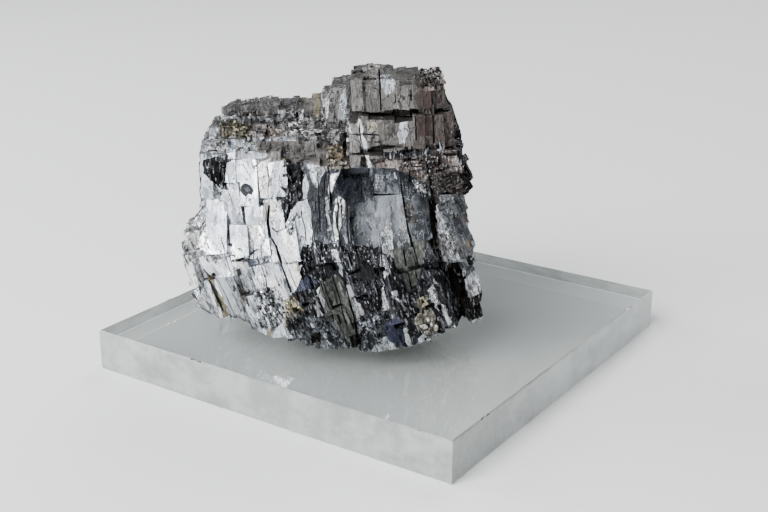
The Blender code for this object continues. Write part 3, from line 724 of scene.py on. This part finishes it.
def split_along_outlines(lump):
    """Splits the faces in sight along the outline of every patch, apart from the largest."""
    form = lump.form

    def frames_of(faces):
        """The box of pixels that each face fills: its lowest x and y, then its highest."""
        counts = np.array([len(face.verts) for face in faces])
        pixels = lump.pixels(np.array([vert.co[:] for face in faces for vert in face.verts]))
        starts = np.concatenate([[0], np.cumsum(counts)[:-1]])
        return np.hstack([np.minimum.reduceat(pixels, starts), np.maximum.reduceat(pixels, starts)])

    centres = np.array([face.calc_center_median()[:] for face in form.faces])
    faces = [face for face, sight in zip(form.faces, lump.in_sight(centres)) if sight]
    rows = {face: row for row, face in enumerate(faces)}
    frames = frames_of(faces)
    outlines = [patch.outline for patch in KINDS[len(GROUNDS) :]]
    small = [outline for outline in outlines if np.ptp(outline, axis=0).max() <= LARGEST_CUT_OUT]
    for start, end in (side for outline in small for side in sides_of(outline)):
        x0, y0, x1, y1 = frames.T
        near = (x0 < max(start[0], end[0])) & (x1 > min(start[0], end[0]))
        near &= (y0 < max(start[1], end[1]) + LEVEL_MARGIN) & (y1 > min(start[1], end[1]) - LEVEL_MARGIN)
        run_x, run_y = end[0] - start[0], end[1] - start[1]
        sides = [run_x * (y - start[1]) - run_y * (x - start[0]) for x in (x0, x1) for y in (y0, y1)]
        near &= (np.min(sides, axis=0) < 0) & (np.max(sides, axis=0) > 0)
        cut = [faces[row] for row in np.flatnonzero(near)]
        if not cut:
            continue
        normal = np.cross(lump.ray(*start), lump.ray(*end))
        normal /= np.linalg.norm(normal)
        geometry = {part for face in cut for part in (face, *face.edges, *face.verts)}
        done = bmesh.ops.bisect_plane(
            form, geom=list(geometry), dist=SPLIT_SNAP, plane_co=lump.eye, plane_no=normal
        )
        parts = [part for part in done["geom"] if isinstance(part, bmesh.types.BMFace)]
        fresh = [part for part in parts if part not in rows]
        rows.update({part: len(faces) + i for i, part in enumerate(fresh)})
        faces += fresh
        if fresh:
            frames = np.vstack([frames, frames_of(fresh)])
        for part, frame_row in zip(parts, frames_of(parts)):
            frames[rows[part]] = frame_row
    lump.triangulate()


# Cleavage: thousands of small square-cornered plates, laths and grains laid along the crystal direction. Each
# block is its eight corners, its kind and its tone.

BLOCK_FACES = [(0, 3, 2, 1), (4, 5, 6, 7), (0, 1, 5, 4), (1, 2, 6, 5), (2, 3, 7, 6), (3, 0, 4, 7)]
CORNERS = np.array([(-0.5, -0.5), (0.5, -0.5), (0.5, 0.5), (-0.5, 0.5)])


def smooth(low, high, value):
    share = np.clip((value - low) / (high - low), 0.0, 1.0)
    return share * share * (3.0 - 2.0 * share)


def lean_at(x, z):
    """The lean of the crystal direction, in radians, for arrays of x and z."""
    low = LEAN_LOW_LEFT + (LEAN_LOW_RIGHT - LEAN_LOW_LEFT) * smooth(LEFT_END, RIGHT_END, x)
    return np.radians(low + (LEAN_HIGH - low) * smooth(*LEAN_BEND, z))


def face_axes(normals, points):
    """Unit vectors across and along each face: along follows the crystal direction where the face allows."""
    lean = lean_at(points[:, 0], points[:, 2])
    column = np.stack([-np.sin(lean), np.zeros_like(lean), np.cos(lean)], axis=1)
    column[np.abs((column * normals).sum(axis=1)) > ACROSS] = (0.0, 1.0, 0.0)
    along = column - normals * (column * normals).sum(axis=1)[:, None]
    along /= np.linalg.norm(along, axis=1)[:, None]
    return np.cross(along, normals), along


def blocks_object(blocks, name):
    """Blocks as one mesh, each still its own closed solid."""
    corners, kinds, tones = zip(*blocks)
    faces = [[8 * i + corner for corner in face] for i in range(len(blocks)) for face in BLOCK_FACES]
    mesh = bpy.data.meshes.new(name)
    mesh.from_pydata(np.concatenate(corners).tolist(), [], faces)
    store(mesh, "kind", "INT", "FACE", np.repeat(kinds, len(BLOCK_FACES)))
    store(mesh, "tone", "FLOAT", "FACE", np.repeat(tones, len(BLOCK_FACES)))
    return new_object(name, mesh)


def scatter_blocks(lump, draw):
    """Breaks up the surface into the blocks that stand on it and the blocks that are cut into it.

    Each kind keeps as many candidates as its cover asks. A block stays within its own patch, so that the
    patches keep their outlines.
    """
    points, normals = lump.scatter(CANDIDATES, draw)
    textures = [kind.texture for kind in KINDS]
    dense = np.array([each.cover / np.mean(each.width) / np.mean(each.length) for each in textures])
    chance = draw.random(CANDIDATES) * CANDIDATES / lump.areas.sum()
    held = chance < dense.max()
    points, normals, chance = points[held], normals[held], chance[held]
    seen = lump.in_sight(points)
    kinds = kinds_at(lump, points, normals, seen)
    held = chance < dense[kinds]
    points, normals, seen, kinds = points[held], normals[held], seen[held], kinds[held]
    across, along = face_axes(normals, points)

    def of_kind(name):
        return np.array([getattr(texture, name) for texture in textures])[kinds]

    def drawn(name):
        return draw.uniform(*of_kind(name).T)

    size = np.stack([drawn("width"), drawn("length")], axis=1)
    ragged = of_kind("ragged")[:, None, None]
    plans = (CORNERS + ragged * draw.uniform(-1.0, 1.0, (len(points), 4, 2))) * size[:, None]
    flat = points[:, None] + plans[..., :1] * across[:, None] + plans[..., 1:] * along[:, None]
    corner_kinds = kinds_at(lump, flat.reshape(-1, 3), np.repeat(normals, 4, axis=0), np.repeat(seen, 4))
    whole = ~seen | np.all(corner_kinds.reshape(-1, 4) == kinds[:, None], axis=1)
    cut = draw.random(len(points)) < of_kind("cut")
    rise, depth = drawn("rise"), drawn("depth")
    slopes = np.tan(np.radians(draw.normal(0.0, 1.0, (len(points), 2)) * of_kind("tilt")[:, None]))
    heights = np.where(cut, PROUD, rise)[:, None] + (plans * slopes[:, None]).sum(axis=2)
    tops = flat + normals[:, None] * heights[..., None]
    feet = flat - (normals * np.where(cut, depth, ROOT)[:, None])[:, None]
    middle = np.mean(EDGE, axis=0)
    shrunk = middle + (lump.pixels(tops.reshape(-1, 3)) - middle) / EDGE_SLACK
    whole &= cut | within(EDGE, shrunk).reshape(-1, 4).all(axis=1)
    tones = draw.random(len(points))
    raised, sunk = [], []
    for i in np.flatnonzero(whole):
        corners = np.concatenate([feet[i], tops[i]])
        held = LOWEST < corners[:, 2].min() and corners[:, 2].max() < lump.top
        if held and lump.strays(flat[i]) < OVERHANG:
            (sunk if cut[i] else raised).append((corners, kinds[i], tones[i]))
    return raised, sunk


def crack_blocks(lump, draw):
    """Each crack is a chain of narrow cutters that run into one another. Their kind and tone don't show."""
    blocks = []
    for line, width, depth in CRACKS.values():
        spots = [lump.at_pixel(*pixel) for pixel in points_of(line)]
        for (start, normal), (end, _) in zip(spots, spots[1:]):
            if start is None or end is None or (end - start).length > LONGEST_CRACK:
                continue
            run = end - start
            along = (run - normal * run.dot(normal)).normalized()
            across = along.cross(normal)
            plan = CORNERS * np.array([width * draw.uniform(*CRACK_WIDTHS), run.length * CRACK_OVERLAP])
            middle = (start + end) / 2
            across, along, normal, middle = (np.array(vector) for vector in (across, along, normal, middle))
            flat = middle + plan[:, :1] * across + plan[:, 1:] * along
            blocks.append((np.concatenate([flat - normal * depth, flat + normal * PROUD]), 0, 0.5))
    return blocks


def rim_cutter(lump):
    """A ring that stands around the silhouette, from in front of the lump to behind it."""
    middle = np.mean(EDGE, axis=0)
    ring = bmesh.new()
    rows = []
    for pixel in EDGE:
        rows.append([])
        for reach, side in ((1.0, -1), (1.0, 1), (TRIM_REACH, 1), (TRIM_REACH, -1)):
            ray = lump.ray(*(middle + (np.array(pixel) - middle) * reach)) / FOCAL_PIXELS
            away = ray * (CAMERA_DISTANCE + side * TRIM_DEPTH)
            rows[-1].append(ring.verts.new(np.array(lump.eye) + away))
    for row, following in sides_of(rows):
        for corner in range(4):
            ring.faces.new((row[corner], following[corner], following[corner - 3], row[corner - 3]))
    bmesh.ops.recalc_face_normals(ring, faces=ring.faces)
    cutter = object_of(ring, "rim_cutter")
    ring.free()
    return cutter


def apart(blocks):
    """The blocks in groups, so that none touches another in its own group."""
    groups = []
    for block in blocks:
        box = np.array([block[0].min(axis=0), block[0].max(axis=0)])
        for group, boxes in groups:
            low, high = np.array(boxes).transpose(1, 0, 2)
            if not np.any(np.all((low < box[1]) & (high > box[0]), axis=1)):
                break
        else:
            group, boxes = [], []
            groups.append((group, boxes))
        group.append(block)
        boxes.append(box)
    return [group for group, _ in groups]


def anchored(form, blocks):
    """The blocks that are still rooted in the body once it is cut."""
    tree = BVHTree.FromBMesh(form)
    kept = []
    for block in blocks:
        foot = Vector(block[0][:4].mean(axis=0))
        near, normal, _, _ = tree.find_nearest(foot)
        if (foot - near).dot(normal) < 0:
            kept.append(block)
    return kept


def cut_away(obj, cutter):
    """Takes one object's solids out of another, and deletes it."""
    modifier = obj.modifiers.new("cut", "BOOLEAN")
    modifier.operation = "DIFFERENCE"
    modifier.object = cutter
    modifier.solver = "MANIFOLD"
    graph = bpy.context.evaluated_depsgraph_get()
    mesh = bpy.data.meshes.new_from_object(obj.evaluated_get(graph))
    obj.modifiers.clear()
    obj.data = mesh
    bpy.data.objects.remove(cutter)


def largest_shell(form):
    """Deletes every loose crumb and sealed pocket, and keeps the body."""
    left, shells = set(form.faces), []
    while left:
        shell, todo = set(), [left.pop()]
        while todo:
            face = todo.pop()
            shell.add(face)
            joined = {other for edge in face.edges for other in edge.link_faces} & left
            left -= joined
            todo += joined
        shells.append(shell)
    shells.sort(key=len)
    crumbs = [face for shell in shells[:-1] for face in shell]
    bmesh.ops.delete(form, geom=crumbs, context="FACES")


def plane_tones(centres, normals):
    """One random tone from 0 to 1 for each plane, so that all of a facet shares it."""
    offset = (centres * normals).sum(axis=1)
    keys = np.stack([*np.round(normals * TURN_STEPS).T, np.round(offset / OFFSET_STEP)], axis=1)
    _, plane = np.unique(keys.astype(np.int64), axis=0, return_inverse=True)
    tones = np.random.default_rng(SEED + 5).random(plane.max() + 1)
    return tones[plane.reshape(-1)]


def straightened(points):
    """Coordinates in which the leaning laths stand upright."""
    x, y, z = points.T
    drop = LEAN_BEND[1] - z
    shift = np.zeros_like(x)
    for step in range(BEND_STEPS):
        height = z + drop * (step + 0.5) / BEND_STEPS
        shift += np.tan(lean_at(x, height)) * np.maximum(drop, 0.0) / BEND_STEPS
    return np.stack([x - shift, y, z], axis=1)


def calm(kind):
    """Whether a kind runs softly into its neighbours."""
    return bool(kind.outline) and kind.texture is SMOOTH


def soft_colours(pixels):
    """Colours of calm ground at some pixels, where neighbouring patches run softly into one another."""
    total = np.full((len(pixels), 4), SOFT_START)
    for spot in range(SOFT_SPOTS):
        away = SOFT_REACH * math.sqrt((spot + 0.5) / SOFT_SPOTS)
        turn = spot * SOFT_TURN
        spots = pixels + away * np.array([math.cos(turn), SOFT_STRETCH * math.sin(turn)])
        colours = np.zeros((len(pixels), 4))
        for patch in filter(calm, KINDS):
            colours[within(patch.outline, spots)] = (*patch.colour, 1.0)
        total += colours
    return total[:, :3] / total[:, 3:]


def paint(mesh, lump):
    """Stores each corner's tint, each face's grain and soil, and each point's straightened coordinates."""
    kinds = read(mesh.attributes["kind"].data, "value", kind=np.int32)
    tones = read(mesh.attributes["tone"].data, "value")
    centres = read(mesh.polygons, "center", 3)
    points = read(mesh.vertices, "co", 3)
    facet = plane_tones(centres, read(mesh.polygons, "normal", 3))
    colours = np.array([kind.colour for kind in KINDS])[kinds]
    grain = np.array([kind.texture.grain for kind in KINDS])[kinds]
    spread = np.array([kind.texture.spread for kind in KINDS])[kinds]
    soil = np.array([kind.soil for kind in KINDS])[kinds]
    soft = np.array([calm(kind) for kind in KINDS])[kinds]
    # Broken ground runs at random from near black up to painted glints, calm ground only a little either side
    # of its own colour.
    swing = (BLOCK_SHARE * tones + FACET_SHARE * facet).argsort().argsort() / len(tones)
    even = 1.0 + (swing - 0.5) * 2.0 * spread
    lively = even * np.interp(swing, *LIVELY_TONES)
    wild = np.interp(swing, *WILD_TONES_AND_GLINTS)
    factor = np.select([spread > WILD_SPREAD, spread > LIVELY_SPREAD], [wild, lively], even)
    # What is cut in gets painted shade, darker the deeper it lies, and soil gathers in it.
    hollow = np.clip((-lump.relief(centres) - HOLLOW_START) / HOLLOW_DEPTH, 0.0, 1.0)
    factor = factor * (1.0 - HOLLOW_SHADE * hollow)
    soil = np.maximum(soil, HOLLOW_SOIL * hollow)
    sides = read(mesh.polygons, "loop_total", kind=np.int64)
    colours, factor, soft = (np.repeat(values, sides, axis=0) for values in (colours, factor, soft))
    corner_points = points[read(mesh.loops, "vertex_index", kind=np.int64)]
    colours[soft] = soft_colours(lump.pixels(corner_points[soft]))
    tints = np.clip(colours * factor[:, None], 0.0, BRIGHTEST)
    tints = np.concatenate([tints, np.ones((len(tints), 1))], axis=1)
    store(mesh, "tint", "FLOAT_COLOR", "CORNER", tints)
    store(mesh, "grain", "FLOAT", "FACE", grain)
    store(mesh, "soil", "FLOAT", "FACE", soil)
    store(mesh, "laths", "FLOAT_VECTOR", "POINT", straightened(points))


def build_lump(node):
    """The lump's body with its cracks cut in, and the crystals that stand proud of it, as two objects."""
    lump = Lump(node)
    form = lump.form
    draw = np.random.default_rng(SEED)
    raised, sunk = scatter_blocks(lump, draw)
    sunk += crack_blocks(lump, draw)
    split_along_outlines(lump)
    body = object_of(form, "galena_body")
    for group in apart(sunk):
        cut_away(body, blocks_object(group, "cutters"))
    lump.take(body.data)
    lump.triangulate()
    bmesh.ops.dissolve_degenerate(form, dist=WELD, edges=form.edges)
    bmesh.ops.holes_fill(form, edges=[edge for edge in form.edges if edge.is_boundary], sides=0)
    lump.triangulate()
    largest_shell(form)
    raised = anchored(form, raised)
    lump.measure()
    form.to_mesh(body.data)
    form.free()
    centres = lump.points[lump.faces].mean(axis=1)
    kinds = kinds_at(lump, centres, lump.normals, lump.in_sight(centres))
    store(body.data, "kind", "INT", "FACE", kinds)
    store(body.data, "tone", "FLOAT", "FACE", plane_tones(centres, lump.normals))
    crystals = blocks_object(raised, "galena_crystals")
    for obj in (body, crystals):
        paint(obj.data, lump)
        obj.data.transform(lump.to_world)
        obj.data.shade_flat()
    return body, crystals


# Materials.


class Graph:
    """A short way to write a material's nodes: each call adds one node and returns its output socket."""

    def __init__(self, name):
        self.material = bpy.data.materials.new(name)
        self.material.use_nodes = True
        self.tree = self.material.node_tree

    def feed(self, sockets, values):
        """Values go in by the name or number of their socket."""
        for name, value in values.items():
            socket = sockets[name]
            if isinstance(value, bpy.types.NodeSocket):
                self.tree.links.new(value, socket)
            else:
                socket.default_value = (*value, 1.0) if socket.type == "RGBA" else value

    def surface(self, **values):
        """Sets the shader's sockets, whose names are written with underscores."""
        shader = self.tree.nodes["Principled BSDF"]
        self.feed(shader.inputs, {name.replace("_", " "): value for name, value in values.items()})

    def node(self, kind, values, output=0, **settings):
        node = self.tree.nodes.new("ShaderNode" + kind)
        for name, value in settings.items():
            setattr(node, name, value)
        self.feed(node.inputs, values)
        return node.outputs[output]

    def math(self, operation, *values):
        return self.node("Math", dict(enumerate(values)), operation=operation)

    def product(self, a, b):
        return self.math("MULTIPLY", a, b)

    def vector(self, operation, *values):
        return self.node("VectorMath", dict(enumerate(values)), operation=operation)

    def swing(self, colour, reach):
        """A random colour as a vector that points any way."""
        middle = self.vector("SUBTRACT", colour, (0.5, 0.5, 0.5))
        return self.node("VectorMath", {0: middle, 3: reach}, operation="SCALE")

    def scaled(self, vector, scale):
        return self.node("Mapping", {"Vector": vector, "Scale": scale})

    def noise(self, vector, scale, detail=3.0, roughness=0.55, output="Fac"):
        """Scale is one number, or one for each axis."""
        if isinstance(scale, tuple):
            vector, scale = self.scaled(vector, scale), 1.0
        values = {"Vector": vector, "Scale": scale, "Detail": detail, "Roughness": roughness}
        return self.node("TexNoise", values, output)

    def cells(self, vector, scale, distance="CHEBYCHEV"):
        """A random colour for each cell."""
        values = {"Vector": vector, "Scale": scale, "Randomness": 0.9}
        return self.node("TexVoronoi", values, "Color", distance=distance)

    def cell_edges(self, vector, scale):
        """The distance to the nearest border between cells."""
        values = {"Vector": vector, "Scale": scale, "Randomness": 0.9}
        return self.node("TexVoronoi", values, "Distance", feature="DISTANCE_TO_EDGE")

    def ramp(self, value, low, high, to_low=0.0, to_high=1.0, kind="SMOOTHSTEP"):
        values = {"Value": value, "From Min": low, "From Max": high, "To Min": to_low, "To Max": to_high}
        return self.node("MapRange", values, interpolation_type=kind)

    def mix(self, share, a, b, blend="MIX"):
        return self.node("Mix", {0: share, 6: a, 7: b}, 2, data_type="RGBA", blend_type=blend)

    def between(self, share, a, b):
        """A number between a and b."""
        return self.node("Mix", {0: share, 2: a, 3: b}, data_type="FLOAT")

    def attribute(self, name, output="Fac"):
        return self.node("Attribute", {}, output, attribute_name=name)

    def part(self, colour, axis):
        return self.node("SeparateXYZ", {0: colour}, axis)

    def bump(self, height, **values):
        return self.node("Bump", {"Height": height, **values})


def lump_material():
    """Metal cleavage faces. The faces bring their colour, grain and soil, and the nodes add what is finer."""
    graph = Graph("galena")
    laths = graph.attribute("laths", "Vector")
    tint = graph.attribute("tint", "Color")
    grain = graph.attribute("grain")
    soil = graph.attribute("soil")
    # Crystals and crumbs are cells that are drawn out along the laths.
    wander = graph.noise(laths, 1.3, 3.0, 0.6, "Color")
    wandered = graph.vector("ADD", graph.scaled(laths, CRYSTAL_STRETCH), graph.swing(wander, CRYSTAL_WANDER))
    crystal = graph.cells(wandered, CRYSTAL_SCALE)
    crumb = graph.cells(graph.scaled(laths, CRUMB_STRETCH), CRUMB_SCALE)
    crystal_tone, crystal_tilt = graph.part(crystal, "X"), graph.part(crystal, "Y")
    crumb_tone, crumb_tilt = graph.part(crumb, "X"), graph.part(crumb, "Y")

    # They vary the tone a little where the surface is smooth, and wildly where it is broken.
    cloud = graph.noise(laths, 0.45, 3.0, 0.6)
    calm_tone = graph.ramp(crystal_tone, 0.0, 1.0, 0.84, 1.1, "LINEAR")
    calm_tone = graph.product(calm_tone, graph.ramp(cloud, 0.35, 0.65, 0.82, 1.12))
    grit = graph.noise(laths, GRIT, 4.0, 0.72)
    wild_tone = graph.ramp(crumb_tone, 0.15, 0.95, 0.35, 1.9)
    wild_tone = graph.product(wild_tone, graph.ramp(grit, 0.38, 0.62, 0.45, 1.6))
    tone = graph.between(grain, calm_tone, wild_tone)
    colour = graph.mix(1.0, tint, graph.node("CombineXYZ", {0: tone, 1: tone, 2: tone}), "MULTIPLY")
    # Painted glints: a few crumbs in broken ground are painted pale, as highlights.
    painted_glint = graph.product(graph.ramp(crumb_tilt, 0.74, 0.8), graph.ramp(grit, 0.47, 0.53))
    colour = graph.mix(graph.product(painted_glint, graph.ramp(grain, 0.2, 0.9, 0.0, 0.8)), colour, PALE)
    streaks = graph.noise(laths, STREAKS, 4.0, 0.68)
    streak_share = graph.product(graph.ramp(streaks, 0.53, 0.6), graph.ramp(grain, 0.05, 0.4, 0.12, 0.8))
    colour = graph.mix(streak_share, colour, graph.mix(0.75, colour, BLACK))

    # Broken cracks run between crystals, large and small, and pits lie along the laths. Both are painted near
    # black as painted shade, and dulled.
    narrow = graph.vector("ADD", graph.scaled(laths, FACET_STRETCH), graph.swing(wander, FACET_WANDER))
    facet = graph.cells(narrow, FACET_SCALE, "EUCLIDEAN")
    broken = graph.ramp(graph.noise(laths, 0.7, 2.0), 0.5, 0.62)
    small_broken = graph.ramp(graph.noise(laths, 1.1, 2.0), 0.56, 0.66)
    crack = graph.product(graph.ramp(graph.cell_edges(narrow, FACET_SCALE), 0.05, 0.035), broken)
    small_edges = graph.ramp(graph.cell_edges(wandered, CRYSTAL_SCALE), 0.075, 0.045)
    small_crack = graph.product(small_edges, small_broken)
    pits = graph.ramp(graph.noise(laths, PITS, 3.0, 0.7), 0.625, 0.65)
    dark = graph.math("MAXIMUM", graph.product(graph.math("MAXIMUM", crack, small_crack), 0.95), pits)
    dark = graph.product(dark, graph.ramp(grain, 0.03, 0.12, 0.3, 1.0))
    dull = graph.math("MAXIMUM", soil, graph.product(dark, 0.8))
    rough = graph.between(grain, graph.ramp(crystal_tilt, 0.0, 1.0, 0.2, 0.34, "LINEAR"), 0.26)

    # Relief finer than the mesh: each crystal's face tips a little, and striations run along the laths.
    height = graph.product(graph.noise(laths, STRIATIONS, 3.0, 0.6), 0.03)
    height = graph.math("ADD", height, graph.product(crumb_tone, graph.product(grain, 0.05)))
    height = graph.math("ADD", height, graph.product(crystal_tone, graph.between(grain, 0.012, 0.05)))
    height = graph.math("SUBTRACT", height, graph.product(dark, 0.08))
    tipped = graph.bump(height, Distance=MM, Strength=0.8)
    tips = {facet: 0.2, crystal: graph.between(grain, 0.06, 0.25), crumb: graph.between(grain, 0.03, 0.5)}
    for cell, reach in tips.items():
        tipped = graph.vector("ADD", tipped, graph.swing(cell, reach))
    graph.surface(
        Base_Color=graph.mix(dark, colour, CRACK_SHADE_COLOUR),
        Metallic=graph.between(dull, 1.0, 0.4),
        Roughness=graph.between(dull, rough, 0.65),
        Normal=graph.vector("NORMALIZE", tipped),
    )
    return graph.material


def clear_material():
    """Polished acrylic."""
    graph = Graph("clear_acrylic")
    graph.surface(Base_Color=CLEAR_TINT, Transmission_Weight=1.0, IOR=ACRYLIC_IOR, Roughness=0.02)
    return graph.material


def sawn_material():
    """The same acrylic where it was sawn: frosted, with fine upright saw lines and clouds between them."""
    graph = Graph("sawn_acrylic")
    place = graph.node("TexCoord", {}, "Object")
    lines = graph.noise(place, SAW_LINES, 3.0, 0.7)
    clouds = graph.noise(place, SAW_CLOUDS, 4.0, 0.65)
    relief = graph.math("ADD", lines, graph.product(clouds, 0.6))
    graph.surface(
        Base_Color=graph.mix(graph.ramp(clouds, 0.35, 0.65), FROST_DARK, FROST_LIGHT),
        Transmission_Weight=0.75,
        IOR=ACRYLIC_IOR,
        Roughness=graph.ramp(clouds, 0.3, 0.7, 0.3, 0.6),
        Normal=graph.bump(relief, Distance=0.05 * MM),
    )
    return graph.material


# The plate, the floor, the light and the camera.


def build_plate():
    """The plate with its sawn sides a little uneven, its edges eased and chipped here and there."""
    low, high = (np.array(corner[:]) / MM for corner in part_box("display_plate"))
    draw = np.random.default_rng(SEED + 2)
    form = bmesh.new()
    bmesh.ops.create_cube(form, size=1.0)
    for vert in form.verts:
        vert.co = Vector((low + high) / 2 + np.array(vert.co[:]) * (high - low))
    level = [edge for edge in form.edges if abs(edge.verts[0].co.z - edge.verts[1].co.z) < PLATE_TOP / 2]
    bmesh.ops.subdivide_edges(form, edges=level, cuts=PLATE_CUTS, use_grid_fill=False)
    rims = [edge for edge in form.edges if len({round(face.normal.z) for face in edge.link_faces}) == 2]
    for vert in dict.fromkeys(vert for edge in rims for vert in edge.verts):
        chip = CHIP_DEPTH * draw.random() if draw.random() < CHIP_SHARE else 0.0
        inward = chip + SAW_WANDER * draw.random()
        for axis in (0, 1):
            if abs(vert.co[axis] - low[axis]) < WELD:
                vert.co[axis] += inward
            elif abs(vert.co[axis] - high[axis]) < WELD:
                vert.co[axis] -= inward
    bmesh.ops.bevel(form, geom=rims, offset=EASED_EDGE, segments=1, affect="EDGES")
    for vert in form.verts:
        vert.co = Vector(np.clip(vert.co[:], low, high))
    bmesh.ops.recalc_face_normals(form, faces=form.faces)
    for face in form.faces:
        face.material_index = 0 if abs(face.normal.z) > FLAT else 1
    bmesh.ops.transform(form, matrix=Matrix.Scale(MM, 4), verts=form.verts)
    plate = object_of(form, "plate_surface")
    form.free()
    plate.data.materials.append(clear_material())
    plate.data.materials.append(sawn_material())
    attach(plate, "root")
    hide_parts("display_plate")


def build_floor():
    form = bmesh.new()
    bmesh.ops.create_grid(form, x_segments=1, y_segments=1, size=FLOOR_REACH)
    bmesh.ops.translate(form, vec=(0.0, 0.0, -FLOOR_DROP), verts=form.verts)
    floor = object_of(form, "floor")
    form.free()
    graph = Graph("pale_floor")
    graph.surface(Base_Color=FLOOR_GREY, Roughness=0.8)
    floor.data.materials.append(graph.material)


def add_lights():
    """Soft lights around the lump, in a pale room."""
    world = bpy.data.worlds.new("studio")
    world.use_nodes = True
    background = world.node_tree.nodes["Background"]
    background.inputs["Color"].default_value = SKY
    background.inputs["Strength"].default_value = SKY_STRENGTH
    bpy.context.scene.world = world
    for name, light in LIGHTS.items():
        data = bpy.data.lights.new(name, "AREA")
        data.shape = "RECTANGLE"
        data.size, data.size_y = light.size
        data.energy = light.power
        data.color = light.colour
        back = direction(CAMERA_AZIMUTH + light.azimuth, light.elevation)
        aim(new_object(name, data), AIM + back * light.distance, back)


def add_camera():
    data = bpy.data.cameras.new("camera")
    data.sensor_width = CAMERA_SENSOR
    data.lens = CAMERA_LENS
    data.clip_start = CLIP_START
    camera = new_object("camera", data)
    aim(camera, camera_place(), camera_axes()[2])
    bpy.context.scene.camera = camera


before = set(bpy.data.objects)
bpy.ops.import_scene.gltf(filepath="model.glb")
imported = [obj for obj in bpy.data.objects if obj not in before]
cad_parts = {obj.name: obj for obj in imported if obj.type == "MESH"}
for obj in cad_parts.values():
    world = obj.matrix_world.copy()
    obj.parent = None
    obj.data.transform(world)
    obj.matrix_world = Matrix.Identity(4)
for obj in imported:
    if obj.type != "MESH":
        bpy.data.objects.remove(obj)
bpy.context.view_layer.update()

add_camera()
add_lights()
build_floor()

metal = lump_material()
for piece in build_lump(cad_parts["galena"]):
    piece.data.materials.clear()
    piece.data.materials.append(metal)
    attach(piece, "root")
    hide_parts("galena")

build_plate()
